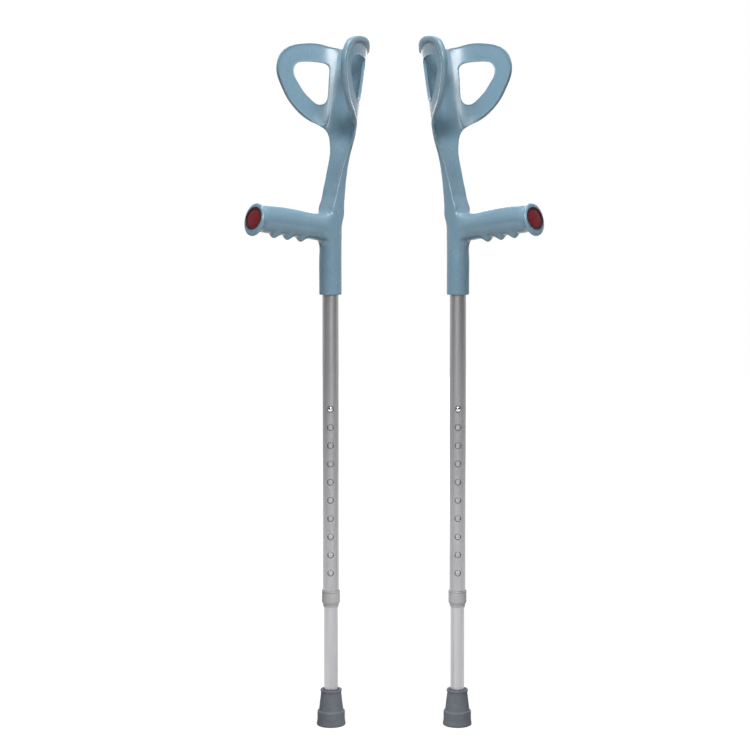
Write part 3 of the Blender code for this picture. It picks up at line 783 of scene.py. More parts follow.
@dataclass
class Workshop:
    """Dresses the shapes and hangs both crutches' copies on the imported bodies. Extras replace nothing."""

    extras: tuple[str, ...] = ("reflector_prisms", "foot_tread")
    looks: dict[Slot, Material] = field(default_factory=dict)
    shapes: dict[Slot, dict[str, Mesh]] = field(default_factory=dict)
    made: list[str] = field(default_factory=list)

    def look(self, slot: Slot) -> Material:
        """The slot's material, made the first time that it is asked for.

        Args:
            slot: the record's slot.

        Returns:
            The material.
        """
        if slot not in self.looks:
            self.looks[slot] = FINISHES[slot].material()
        return self.looks[slot]

    def dress(self, piece: str, slot: Slot, mesh: Mesh) -> None:
        """Give a shape its finish and keep it.

        Args:
            piece: its name without the side.
            slot: the record's slot that it belongs to.
            mesh: the shape, in the slot's frame.
        """
        mesh.materials.clear()
        mesh.materials.append(self.look(slot))
        self.shapes.setdefault(slot, {})[piece] = mesh

    def hang(self, side: Side, places: dict[Frame, Matrix]) -> None:
        """Make one crutch's copies of the shapes, in the slots' order.

        Args:
            side: whose copies they are.
            places: where each frame stands.
        """
        for slot in Slot:
            for piece, mesh in self.shapes[slot].items():
                own = mesh.copy()
                own.name = side.named(piece)
                own.transform(places[slot.frame])
                own.shade_smooth()
                own.set_sharp_from_angle(angle=SHARP_TURN)
                item = bpy.data.objects.new(own.name, own)
                bpy.context.collection.objects.link(item)
                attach(item, slot.body.of(side))
                if piece not in self.extras:
                    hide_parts(side.named(slot.label))
                self.made.append(item.name)


class SurfaceWork:
    """Works on the points of one dense mesh."""

    def __init__(self, mesh: Mesh) -> None:
        """Read the mesh.

        Args:
            mesh: a closed mesh.
        """
        self.mesh = mesh
        points = np.zeros(len(mesh.vertices) * 3)
        mesh.vertices.foreach_get("co", points)
        self.points = points.reshape(-1, 3)
        pairs = np.zeros(len(mesh.edges) * 2, dtype=np.int64)
        mesh.edges.foreach_get("vertices", pairs)
        self.starts, self.ends = pairs.reshape(-1, 2).T
        self.neighbours = np.bincount(pairs).astype(float)[:, None]

    def _gathered(self, starts: np.ndarray, ends: np.ndarray) -> np.ndarray:
        """The mean at each point of what its edges bring.

        Args:
            starts: what each edge brings to its start.
            ends: what each edge brings to its end.

        Returns:
            A row for each point.
        """
        total = np.zeros((len(self.points), starts.shape[1]))
        np.add.at(total, self.starts, starts)
        np.add.at(total, self.ends, ends)
        return total / self.neighbours

    def _pull(self) -> np.ndarray:
        """How far each point lies from the middle of its neighbours."""
        return self._gathered(self.points[self.ends], self.points[self.starts]) - self.points

    def _normals(self) -> np.ndarray:
        """The surface's normals at its points, as they now lie.

        Returns:
            A row for each point.
        """
        self.mesh.vertices.foreach_set("co", self.points.ravel())
        self.mesh.update()
        normals = np.zeros(len(self.points) * 3)
        self.mesh.vertices.foreach_get("normal", normals)
        return normals.reshape(-1, 3)

    def fill_hollows(self, centres: Sequence[Any], inside: float, outside: float, rounds: int) -> None:
        """Round off the hollow corners near some places, and leave the rest as it is.

        Args:
            centres: the middles of the places.
            inside: up to this far away the filling is full.
            outside: from this far away there is none.
            rounds: how often each point may move.
        """
        away = [np.linalg.norm(self.points - np.array(centre), axis=1) for centre in centres]
        share = 1.0 - smooth_step(np.min(away, axis=0), inside, outside)
        for turn in range(rounds):
            if turn % 6 == 0:
                normals = self._normals()
            rise = np.maximum(0.0, np.einsum("ij,ij->i", self._pull(), normals))
            self.points += normals * (rise * share * 0.8)[:, None]
        self._normals()

    def edges(self, low: float, high: float) -> np.ndarray:
        """Where the surface turns outwards sharply.

        Args:
            low: how far a point stands out where the result is 0.
            high: how far it stands out where the result is 1.

        Returns:
            A share for each point.
        """
        lengths = np.linalg.norm(self.points[self.starts] - self.points[self.ends], axis=1)[:, None]
        mean = self._gathered(lengths, lengths)[:, 0]
        stand = -np.einsum("ij,ij->i", self._pull(), self._normals())
        return smooth_step(stand / np.maximum(mean, 1e-6) ** 2 * 1e-6, low, high)

    def store(self, name: str, values: np.ndarray) -> None:
        """Keep a value for each point on the mesh, for the material to read."""
        layer = self.mesh.attributes.new(name, "FLOAT", "POINT")
        layer.data.foreach_set("value", values.astype(np.float32))


def smooth_step(values: np.ndarray, low: float, high: float) -> np.ndarray:
    """A smooth rise from 0 at low to 1 at high."""
    share = np.clip((values - low) / (high - low), 0.0, 1.0)
    return share * share * (3.0 - 2.0 * share)


@dataclass(frozen=True)
class StemLevel:
    """One level of the leaning stem: a flat front, two sides and a round back."""

    height: float
    front_middle: float
    front_edge: float
    back_edge: float
    back_middle: float
    half_width: float
    crease: float

    def ring(self) -> list[Triple]:
        """The column's sixteen points at this level.

        Returns:
            The points, from the front's right side round to the back.
        """
        half, front, back = self.half_width, self.front_middle, self.back_middle
        middle = (self.front_edge + self.back_edge) / 2.0
        across = (-1.0, -0.6, -0.2, 0.2, 0.6, 1.0)
        behind = (0.95, 0.78, 0.47, 0.16, -0.16, -0.47, -0.78, -0.95)
        points = [(front + (self.front_edge - front) * share**2, half * share) for share in across]
        points.append((middle, half))
        points += [(back + (self.back_edge - back) * share**4, half * share * 0.97) for share in behind]
        points.append((middle, -half))
        return [(*point, self.height) for point in points]


@dataclass(frozen=True)
class WingCorner:
    """A place on the cuff's shell: the rim's corner, its window's corner, and the lip's share there."""

    rim: tuple[float, float]
    window: tuple[float, float]
    lip: float


@dataclass(frozen=True)
class Handle:
    """The one-piece moulding: sleeve, ridged grip, leaning stem and the open cuff's two wings."""

    sleeve_radius: float = 0.0153
    sleeve_end: float = 0.0016
    bore_radius: float = 0.0113
    bore_depth: float = 0.1020
    bore_rings: Triple = (0.085, 0.050, 0.018)
    sleeve_rings: Triple = (0.012, 0.030, 0.052)
    opening_low: float = 0.0730
    opening_step: float = 0.012
    opening_behind: Triple = (0.0002, 0.0007, 0.0016)
    grip_root: float = 0.0230
    grip_length: float = 0.1400
    grip_half_width: float = 0.0148
    grip_tilt: float = math.radians(13.0)
    ridge_depth: float = 0.0057
    ridge_pitch: float = 0.0226
    ridge_skew: float = 0.05
    ridge_count: int = 3
    ridge_from_end: float = 0.0417
    flange_radius: float = 0.0208
    flange_drop: float = 0.0022
    flange_half_width: float = 0.0180
    flange_thickness: float = 0.0052
    flange_outline: tuple[tuple[float, float], ...] = (
        (1.35, 0.83), (0.98, 0.93), (0.74, 0.985), (0.45, 1.0), (0.18, 0.975), (0.03, 0.935)
    )
    seat_radius: float = 0.0156
    seat_depth: float = 0.0042
    cuff_reach: float = 0.0870
    half_opening: float = 0.0615
    bow_forward: float = 0.345
    bow_out: tuple[float, float] = (0.488, 0.700)
    foot_size: float = 0.90
    foot_setback: float = 0.0330
    spine_lean: float = 0.1865
    taper: float = 1.04
    shell: float = 0.0032
    rim: float = 0.0060
    lip_width: float = 0.0070
    lip_step: float = 0.0012
    top_dip: float = 0.0085
    spine_across: tuple[float, ...] = (-1.0, -0.74, -0.25, 0.25, 0.74, 1.0)
    foot_behind: tuple[float, ...] = (-1.0, -0.85, -0.74, -0.45, -0.15, 0.15, 0.45, 0.74, 0.85, 1.0)
    stem: tuple[StemLevel, ...] = (
        StemLevel(0.1090, 0.0150, 0.0080, -0.0100, -0.0170, 0.0149, 0.0),
        StemLevel(0.1200, 0.0108, 0.0078, -0.0107, -0.0177, 0.0146, 0.10),
        StemLevel(0.1310, 0.0046, 0.0034, -0.0122, -0.0185, 0.0142, 0.14),
        StemLevel(0.1430, 0.0000, 0.0003, -0.0138, -0.0199, 0.0142, 0.15),
        StemLevel(0.1550, -0.0045, -0.0034, -0.0154, -0.0213, 0.0142, 0.15),
        StemLevel(0.1670, -0.0082, -0.0070, -0.0170, -0.0232, 0.0147, 0.15),
        StemLevel(0.1790, -0.0120, -0.0110, -0.0188, -0.0255, 0.0154, 0.15),
        StemLevel(0.1950, -0.0183, -0.0168, -0.0218, -0.0290, 0.0174, 0.15),
        StemLevel(0.2060, -0.0235, -0.0195, -0.0236, -0.0325, 0.0198, 0.15),
        StemLevel(0.2170, -0.0290, -0.0210, -0.0244, -0.0354, 0.0225, 0.14),
    )
    grip_places: tuple[float, ...] = (0.0200, 0.0450, 0.0770, 0.1100, 0.1300)
    grip_tops: tuple[float, ...] = (0.1108, 0.1134, 0.1184, 0.1197, 0.1200)
    grip_undersides: tuple[float, ...] = (0.0752, 0.0774, 0.0804, 0.0827, 0.0846)
    wing: tuple[WingCorner, ...] = (
        WingCorner((0.300, 0.3412), (0.452, 0.3139), 1.0),
        WingCorner((0.462, 0.3440), (0.505, 0.3205), 1.0),
        WingCorner((0.620, 0.3478), (0.621, 0.3228), 1.0),
        WingCorner((0.785, 0.3470), (0.740, 0.3228), 1.0),
        WingCorner((0.955, 0.3373), (0.843, 0.3185), 1.0),
        WingCorner((1.010, 0.3114), (0.862, 0.3036), 0.9),
        WingCorner((0.970, 0.2897), (0.814, 0.2915), 0.7),
        WingCorner((0.905, 0.2712), (0.755, 0.2804), 0.5),
        WingCorner((0.803, 0.2550), (0.672, 0.2708), 0.35),
        WingCorner((0.645, 0.2412), (0.582, 0.2638), 0.2),
        WingCorner((0.426, 0.2312), (0.488, 0.2645), 0.0),
        WingCorner((0.340, 0.2610), (0.442, 0.2710), 0.0),
        WingCorner((0.310, 0.2990), (0.440, 0.2862), 0.0),
        WingCorner((0.300, 0.3340), (0.448, 0.3029), 1.0),
    )
    stem_corner: int = 10
    seam: tuple[int, ...] = (10, 11, 12, 13, 0)
    outer_seam_heights: tuple[float, ...] = (0.2312, 0.2590, 0.2900, 0.3170)

    @staticmethod
    def _sleeve_ring(height: float, radius: float, behind: float = 0.0) -> list[Triple]:
        """Sixteen points round the column: six in front, ten behind.

        Args:
            height: above the sleeve's end.
            radius: the circle's radius.
            behind: how much farther back the ring reaches.

        Returns:
            The points, from the front's right side round to the back.
        """
        turns = [-75.0 + 30.0 * side for side in range(6)]
        turns += [75.0 + 210.0 * side / 11.0 for side in range(1, 11)]
        ways = [(math.cos(math.radians(turn)), math.sin(math.radians(turn))) for turn in turns]
        return [(radius * ahead + behind * min(0.0, ahead), radius * out, height) for ahead, out in ways]

    def _inside(self, share: float, height: float) -> Vector:
        """A point on the cuff's inner face.

        Args:
            share: from the spine, 0, to a wing's free edge, 1 or -1.
            height: above the sleeve's end.

        Returns:
            The point.
        """
        bend = abs(share)
        rest = 1.0 - bend
        forward = 3.0 * bend**2 * rest * self.bow_forward * self.cuff_reach + bend**3 * self.cuff_reach
        near, far = self.bow_out
        out = self.half_opening * (3.0 * bend * rest**2 * near + 3.0 * bend**2 * rest * far + bend**3)
        above = height - self.wing[self.stem_corner].rim[1]
        size = self.foot_size + self.taper * above
        spine = -self.foot_setback - self.spine_lean * above
        return Vector((spine + size * forward, math.copysign(size * out, share), height))

    def _outside(self, share: float, height: float, thickness: float) -> Vector:
        """A point square out of the cuff's inner face.

        Args:
            share: from the spine to a wing's free edge, as for the inner face.
            height: above the sleeve's end.
            thickness: how far out it lies.

        Returns:
            The point.
        """
        step = 0.001
        across = self._inside(share + step, height) - self._inside(share - step, height)
        up = self._inside(share, height + step) - self._inside(share, height - step)
        return self._inside(share, height) + up.cross(across).normalized() * thickness

    def _add_column(self, cage: Cage) -> tuple[list[int], list[list[int]]]:
        """Bore, sleeve and stem.

        Args:
            cage: what the points go into.

        Returns:
            The stem's last ring, and the four rows round the opening that the grip grows from.
        """
        radius, bore, end = self.sleeve_radius, self.bore_radius, self.sleeve_end
        profile = [(bore, height) for height in (self.bore_depth, *self.bore_rings)]
        profile += [(bore, end + 0.0035), (bore + 0.0003, end + 0.0009), (bore + 0.0012, end)]
        profile += [(radius - 0.0014, end), (radius - 0.0003, end + 0.0010), (radius, end + 0.0034)]
        profile += [(radius, height) for height in self.sleeve_rings]
        levels = [self._sleeve_ring(height, size) for size, height in profile]
        for row, behind in enumerate(self.opening_behind):
            height = self.opening_low + self.opening_step * row
            levels.append(self._sleeve_ring(height, radius, behind))
        levels += [level.ring() for level in self.stem]
        first = len(profile)
        rings = []
        for row, level in enumerate(levels):
            hole = range(1, 5) if first < row < first + 3 else ()
            rings.append([None if side in hole else cage.add(point) for side, point in enumerate(level)])
        for row, (ring, following) in enumerate(zip(rings, rings[1:])):
            cage.bridge(ring, following, range(5) if first <= row < first + 3 else ())
        cage.cap(rings[0])
        cage.crease(rings[0] + rings[0][:1], [0.5] * 16)
        for side in (0, 5):
            cage.crease([row[side] for row in rings[first + 3 :]], [level.crease for level in self.stem])
        return rings[-1], rings[first : first + 4]

    def _section(self, along: float) -> list[float]:
        """Top and underside of the grip at a place along it, without its ridges."""
        fits = [np.polyfit(self.grip_places, row, 3) for row in (self.grip_tops, self.grip_undersides)]
        return [float(np.polyval(fit, along)) for fit in fits]

    def end_frame(self) -> Matrix:
        """Place of the grip's end face, with +Z along the grip."""
        middle = Vector((self.grip_length, 0.0, sum(self._section(self.grip_length)) / 2.0))
        return Matrix.Translation(middle) @ Matrix.Rotation(math.pi / 2.0 - self.grip_tilt, 4, "Y")

    def _grip_stations(self) -> list[tuple[float, float]]:
        """Places along the grip that get a ring.

        Returns:
            Each place, with the ridges' height there.
        """
        first = self.grip_length - self.ridge_from_end - self.ridge_pitch * (self.ridge_count - 1)
        stations = [(self.grip_root, 0.0), (self.grip_root + 0.010, 0.0)]
        for step in range(8 * self.ridge_count + 1):
            turn = step / 8.0 - 0.5
            swing = turn - self.ridge_skew * math.cos(math.tau * turn)
            height = (0.5 + 0.5 * math.cos(math.tau * swing)) ** 1.6
            stations.append((first + self.ridge_pitch * turn, self.ridge_depth * height))
        neck = self.grip_length - self.flange_thickness * 2.6
        return [*stations, ((stations[-1][0] + neck) / 2.0, 0.0), (neck, 0.0)]

    def _add_grip(self, cage: Cage, opening: Sequence[Sequence[int]]) -> None:
        """Grip, flange and the reflector's seat.

        Args:
            cage: what the points go into.
            opening: the four rows round the opening in the column.
        """
        low, lower_side, upper_side, high = opening
        ring = [upper_side[5], *high[5::-1], upper_side[0], lower_side[0], *low[:6], lower_side[5]]
        slices = []
        for along, ridge in self._grip_stations():
            tilt = self.grip_tilt * min(1.0, max(0.0, along / self.grip_length - 0.15) / 0.6)
            slices.append((along, *self._section(along), self.grip_half_width, tilt, ridge))
        tall, wide, drop = self.flange_radius, self.flange_half_width, self.flange_drop
        seat, deep = self.seat_radius, self.seat_depth
        cup = ((0.0, seat + 0.0005), (0.0005, seat), (deep - 0.0004, seat), (deep, seat - 0.0006))
        lathe = [
            (self.flange_thickness * back, tall * share, wide * share + 0.0006 * back, drop * share)
            for back, share in self.flange_outline
        ]
        lathe.append((0.0, tall * 0.87, wide * 0.915, drop * 0.8))
        lathe += [(back, radius, radius, 0.0) for back, radius in (*cup, (deep, seat * 0.7))]
        centre = self.end_frame().translation
        direction = Vector((math.cos(self.grip_tilt), 0.0, math.sin(self.grip_tilt)))
        for back, half_height, half_width, lower in lathe:
            middle = centre - direction * back
            top, bottom = middle.z + half_height, middle.z - half_height - lower
            slices.append((middle.x, top, bottom, half_width, self.grip_tilt, 0.0))
        for along, top, bottom, half_width, tilt, ridge in slices:
            following = []
            for angle in [math.tau * (side + 0.5) / 16.0 for side in range(16)]:
                rise = (top - bottom) / 2.0 * math.sin(angle)
                if rise < 0.0:
                    rise -= ridge * math.sin(angle) ** 8
                height = (top + bottom) / 2.0 + rise * math.cos(tilt)
                place = (along - rise * math.sin(tilt), half_width * math.cos(angle), height)
                following.append(cage.add(place))
            cage.bridge(ring, following)
            ring = following
        cage.cap(ring[1:] + ring[:1])

    def _dip(self, corner: int, column: float) -> float:
        """How far the spine's top edge hangs below the wings' at a column of it."""
        share = {0: 1.0, 13: 0.8, 12: 0.3}.get(corner, 0.0)
        return self.top_dip * share * math.cos(math.pi / 2.0 * column) ** 2

    def _add_cuff(self, cage: Cage, stem_top: Sequence[int]) -> None:
        """Spine strip, both wings and the lip round their outside.

        Args:
            cage: what the points go into.
            stem_top: the stem's last ring.
        """
        plan = [(corner, self.wing[corner].rim[1], self.spine_across, 0.0) for corner in self.seam]
        for corner, height in zip(self.seam, self.outer_seam_heights):
            columns = self.foot_behind if corner == self.stem_corner else self.spine_across
            plan.append((corner, height, columns, self.shell))
        rows = []
        for corner, height, columns, thickness in plan:
            share = self.wing[corner].rim[0]
            spots = [(share * column, height - self._dip(corner, column)) for column in columns]
            rows.append([cage.add(self._outside(*spot, thickness)) for spot in spots])
        inner, outer = rows[: len(self.seam)], rows[len(self.seam) :]
        cage.bridge(stem_top, inner[0] + outer[0][::-1])
        foot, inside = self._add_lip(cage, inner, outer[0])
        outer[0] = outer[0][2:-2]
        outer.append(foot[self.stem_corner : self.stem_corner + 6])
        cage.strips(*inner)
        cage.strips(*outer)
        for side, column in ((-1, 0), (1, 5)):
            loops = []
            for sheet, chain in ((inner, inside), (outer, foot)):
                free = chain[self.stem_corner :: -1] if side < 0 else chain[-1 - self.stem_corner :]
                loops.append(free + [row[column] for row in sheet[1:-1]])
            self._add_wing(cage, side, loops)

    def _add_lip(
        self, cage: Cage, inner: Sequence[Sequence[int]], outer_foot: Sequence[int]
    ) -> tuple[list[int], list[int]]:
        """The rim's edge and the raised lip along it, from one stem corner to the other.

        Args:
            cage: what the points go into.
            inner: the spine's rows of inner points.
            outer_foot: the ten outer points at the foot of the spine.

        Returns:
            The points along the foot of the lip's step, and those along the rim's inner edge.
        """
        chains: tuple[list[int], ...] = ([], [], [], [])
        places = [(corner, -1.0) for corner in range(self.stem_corner, -1, -1)]
        places += [(0, column) for column in self.spine_across[1:-1]]
        places += [(corner, 1.0) for corner in range(self.stem_corner + 1)]
        for corner, column in places:
            spot = self.wing[corner]
            if corner == self.stem_corner:
                found = outer_foot[:3] if column < 0.0 else outer_foot[:-4:-1]
                for chain, point in zip(chains, (*found, inner[0][0 if column < 0.0 else 5])):
                    chain.append(point)
                continue
            distances = (0.0, self.lip_width, self.lip_width + self.lip_step)
            if corner == 0:
                top = spot.rim[1] - self._dip(0, column)
                spots = [(spot.rim[0] * column, top - distance) for distance in distances]
                seat = inner[-1][self.spine_across.index(column)]
            else:
                reach = (self._inside(*spot.rim) - self._inside(*spot.window)).length
                ends = Vector(spot.rim), Vector(spot.window)
                spots = [ends[0].lerp(ends[1], distance / reach) for distance in distances]
                spots = [(column * across, height) for across, height in spots]
                seat = cage.add(self._inside(column * spot.rim[0], spot.rim[1]))
            proud = self.shell + (self.rim - self.shell) * spot.lip
            thicknesses = (max(proud, self.rim - 0.0002), proud, self.shell)
            for chain, place, thickness in zip(chains, spots, thicknesses):
                chain.append(cage.add(self._outside(*place, thickness)))
            chains[3].append(seat)
        edge, lip_edge, foot, inside = chains
        cage.strips(inside, edge, lip_edge, foot)
        from_middle = [abs(place - len(edge) // 2 + 0.5) for place in range(len(edge) - 1)]
        fade = [max(0.0, 0.34 - 0.04 * max(0, away - 8.0)) for away in from_middle]
        cage.crease(lip_edge, fade)
        cage.crease(foot, fade)
        return foot, inside

    def _add_wing(self, cage: Cage, side: int, loops: Sequence[list[int]]) -> None:
        """One wing's two sheets, from their outer loops in to the window.

        Args:
            cage: what the points go into.
            side: 1 or -1.
            loops: the inner sheet's outer loop and the outer sheet's.
        """
        windows = []
        for loop, shares, seam_shares, thickness in (
            (loops[0], (0.07, 0.38, 0.72, 0.94, 1.0), (0.34, 0.60, 0.80, 0.95, 1.0), 0.0),
            (loops[1], (0.42, 0.72, 0.94, 1.0), (0.34, 0.66, 0.93, 1.0), self.shell),
        ):
            for free_share, seam_share in zip(shares, seam_shares):
                following = []
                for corner, spot in enumerate(self.wing):
                    rim = Vector(spot.rim)
                    if thickness > 0.0 and corner in self.seam[:-1]:
                        rim.y = self.outer_seam_heights[self.seam.index(corner)]
                    share = seam_share if corner in self.seam[1:-1] else free_share
                    across, height = rim.lerp(Vector(spot.window), share)
                    following.append(cage.add(self._outside(side * across, height, thickness)))
                cage.bridge(loop, following)
                loop = following
            windows.append(loop)
        cage.bridge(*windows)

    def mesh(self) -> Mesh:
        """The whole moulding, with its wear and its edges' painted highlight stored on it.

        Returns:
            The mesh, in the handle's own frame.
        """
        cage = Cage()
        stem_top, opening = self._add_column(cage)
        self._add_grip(cage, opening)
        self._add_cuff(cage, stem_top)
        mesh = cage.mesh("handle", 3)
        surface = SurfaceWork(mesh)
        under_grip, over_grip = Vector((0.012, 0.0, 0.091)), Vector((0.020, 0.0, 0.118))
        surface.fill_hollows([under_grip], 0.020, 0.034, 30)
        surface.fill_hollows([over_grip], 0.016, 0.028, 130)
        seam_tops = ((0.30, 0.3290), (0.31, 0.3350))
        seam_feet = ((0.33, 0.2560), (0.36, 0.2460), (0.41, 0.2400))
        fillings = ((seam_tops, 0.005, 0.012, 24), (seam_feet, 0.009, 0.020, 70))
        for spots, inside, outside, rounds in fillings:
            places = [self._inside(side * share, high) for side in (-1, 1) for share, high in spots]
            surface.fill_hollows(places, inside, outside, rounds)
        # Convex edges, which the plastic finish paints paler: partly wear, partly a painted highlight.
        surface.store(EDGE_WEAR_AND_HIGHLIGHT, surface.edges(0.00012, 0.0005))
        along, _, height = surface.points.T
        held = smooth_step(along, 0.02, 0.04) * (1.0 - smooth_step(along, 0.115, 0.125))
        surface.store(HANDLED, held * (1.0 - smooth_step(height, 0.13, 0.15)))
        return mesh

    def build(self, workshop: Workshop) -> None:
        """Make and dress the moulding."""
        workshop.dress("moulding", Slot.HANDLE, self.mesh())


@dataclass(frozen=True)
class Reflector:
    """Red disc in a dark cup, pressed into the grip's end."""

    radius: float = 0.0153
    depth: float = 0.0042
    ring: float = 0.0024
    floor: float = 0.0012
    lens_thickness: float = 0.0022
    crown: float = 0.0006
    prism_pitch: float = 0.0017
    prism_height: float = 0.00035

    def cup(self) -> Mesh:
        """The cup, whose ring stands level with the end face.

        Returns:
            The mesh, with the grip's end at its origin.
        """
        floor = -self.depth + SEAT_GAP
        inner = self.radius - self.ring
        corners = [(0.0, floor, 0.0), (self.radius, floor, 0.0003), (self.radius, 0.0002, 0.0005)]
        corners += [(inner, 0.0002, 0.0004), (inner - 0.0001, floor + self.floor, 0.0002)]
        return turned("reflector_cup", [*corners, (0.0, floor + self.floor, 0.0)])

    def disc(self) -> Mesh:
        """The crowned disc.

        Returns:
            The mesh, with the grip's end at its origin.
        """
        radius = self.radius - self.ring - SEAT_GAP
        under = -self.depth + 2.0 * SEAT_GAP + self.floor
        edge = under + self.lens_thickness - self.crown
        corners = [(0.0, under, 0.0), (radius, under, 0.0002), (radius, edge, 0.0004)]
        for share in (0.86, 0.7, 0.5, 0.25, 0.0):
            corners.append((radius * share, edge + self.crown * (1.0 - share**2), 0.0))
        return turned("reflector_disc", corners)

    def prisms(self, material: Material) -> Mesh:
        """A field of flat six-sided prisms on the disc, in rows that interlock.

        Args:
            material: their material.

        Returns:
            The field, a little above the disc's top.
        """
        sizes = {"pitch": self.prism_pitch, "height": self.prism_height, "crown": self.crown}
        reach = self.radius - self.ring - SEAT_GAP - self.prism_pitch * 0.6
        recipe = Recipe("prism_field", radius=reach, **sizes)
        radius, pitch = recipe["radius"], recipe["pitch"]
        between = pitch * math.sin(math.pi / 3.0)
        rows = 2.0 * radius / between + 3.0
        columns = 2.0 * radius / pitch + 3.0
        size = {"Size_X": (columns - 1.0) * pitch, "Size_Y": (rows - 1.0) * between}
        grid = recipe.node("GeometryNodeMeshGrid", Vertices_X=columns, Vertices_Y=rows, **size)
        place = recipe.node("GeometryNodeInputPosition")
        row = recipe.axes(place)[1] / between
        odd = ((row + 100.25) * 0.5).fraction().ramp(0.49, 0.51)
        shift = recipe.vector(X=pitch * odd * 0.5)
        moved = recipe.node("GeometryNodeSetPosition", Geometry=grid, Offset=shift)
        away = recipe.length(place)
        settings = {"data_type": "FLOAT", "operation": "GREATER_THAN"}
        beyond = recipe.node("FunctionNodeCompare", settings, {0: away, 1: radius})
        kept = recipe.node("GeometryNodeDeleteGeometry", Geometry=moved, Selection=beyond)
        share = away / radius
        sag = recipe.vector(Z=recipe["crown"] * share * share * -1.0)
        seated = recipe.node("GeometryNodeSetPosition", Geometry=kept, Offset=sag)
        taper = {"Radius_Top": pitch * 0.16, "Radius_Bottom": pitch * 0.54, "Depth": recipe["height"]}
        cone = recipe.node("GeometryNodeMeshCone", {"fill_type": "NGON"}, Vertices=6, **taper)
        recipe.serve(recipe.repeated(seated, cone))
        mesh = recipe.mesh("prisms", material)
        top = -self.depth + 2.0 * SEAT_GAP + self.floor + self.lens_thickness
        mesh.transform(Matrix.Translation((0.0, 0.0, top - self.prism_height * 0.3)))
        return mesh

    def build(self, workshop: Workshop) -> None:
        """Make and dress the cup, the disc and its prisms.

        Args:
            workshop: what dresses and keeps them.
        """
        workshop.dress("reflector_cup", Slot.REFLECTOR_BASE, self.cup())
        workshop.dress("reflector_disc", Slot.REFLECTOR_LENS, self.disc())
        prisms = self.prisms(workshop.look(Slot.REFLECTOR_LENS))
        workshop.dress("reflector_prisms", Slot.REFLECTOR_LENS, prisms)


@dataclass(frozen=True)
class Tubes:
    """Upper tube with its row of height holes, and the lower tube that slides in it."""

    upper_radius: float = 0.0110
    upper_bottom: float = 0.1720
    upper_top: float = 0.6927
    lower_radius: float = LOWER_RADIUS
    lower_wall: float = 0.0012
    lower_bottom: float = 0.0121
    lower_top: float = 0.4820
    slide_gap: float = 0.0003
    hole_radius: float = 0.0041

    @property
    def bore(self) -> float:
        """Radius of the lower tube's inside."""
        return self.lower_radius - self.lower_wall

    @property
    def guide(self) -> float:
        """Radius in which the lower tube slides."""
        return self.lower_radius + self.slide_gap

    def recipe(self) -> Recipe:
        """The tree that makes a tube and drills a row of holes through its wall on +X.

        Returns:
            The tree, with the upper tube's sizes.
        """
        recipe = Recipe(
            "drilled_tube",
            outer=self.upper_radius, inner=self.guide, bottom=self.upper_bottom, top=self.upper_top,
            hole=self.hole_radius, first=BUTTON_HEIGHT, pitch=HOLE_PITCH, holes=HOLE_COUNT,
        )
        outer, bottom, top = recipe["outer"], recipe["bottom"], recipe["top"]
        length = top - bottom
        middle = recipe.vector(Z=(top + bottom) * 0.5)
        wall = []
        hollow = recipe["inner"]
        for radius, depth, segments in ((outer, length, length / 0.004), (hollow, length + 0.02, 1)):
            solid = recipe.cylinder(TUBE_FACETS, radius, depth, Side_Segments=segments)
            wall.append(recipe.node("GeometryNodeTransform", Geometry=solid, Translation=middle))
        line = {"Start_Location": recipe.vector(X=outer, Z=recipe["first"])}
        line["Offset"] = recipe.vector(Z=recipe["pitch"] * -1.0)
        row = recipe.node("GeometryNodeMeshLine", {"mode": "OFFSET"}, Count=recipe["holes"], **line)
        drill = recipe.cylinder(40, recipe["hole"], outer * 1.2)
        drills = recipe.repeated(row, drill, (0.0, math.pi / 2.0, 0.0))
        drills = recipe.node("GeometryNodeRealizeInstances", Geometry=drills)
        recipe.serve(recipe.cut(recipe.cut(*wall), drills))
        return recipe

    def upper(self, recipe: Recipe, material: Material) -> Mesh:
        """The upper tube."""
        return recipe.mesh("outer_tube", material)

    def lower(self, recipe: Recipe, material: Material) -> Mesh:
        """The lower tube, with the button's hole.

        Args:
            recipe: the tree that makes a drilled tube.
            material: its material.

        Returns:
            The mesh, with the hole on +X.
        """
        sizes = {"outer": self.lower_radius, "inner": self.bore}
        sizes.update(bottom=self.lower_bottom, top=self.lower_top, holes=1)
        return recipe.mesh("inner_tube", material, **sizes)

    def build(self, workshop: Workshop) -> None:
        """Make and dress both tubes.

        Args:
            workshop: what dresses and keeps them.
        """
        recipe = self.recipe()
        upper = self.upper(recipe, workshop.look(Slot.UPPER_TUBE))
        workshop.dress("outer_tube", Slot.UPPER_TUBE, upper)
        lower = self.lower(recipe, workshop.look(Slot.LOWER_TUBE))
        workshop.dress("inner_tube", Slot.LOWER_TUBE, lower)


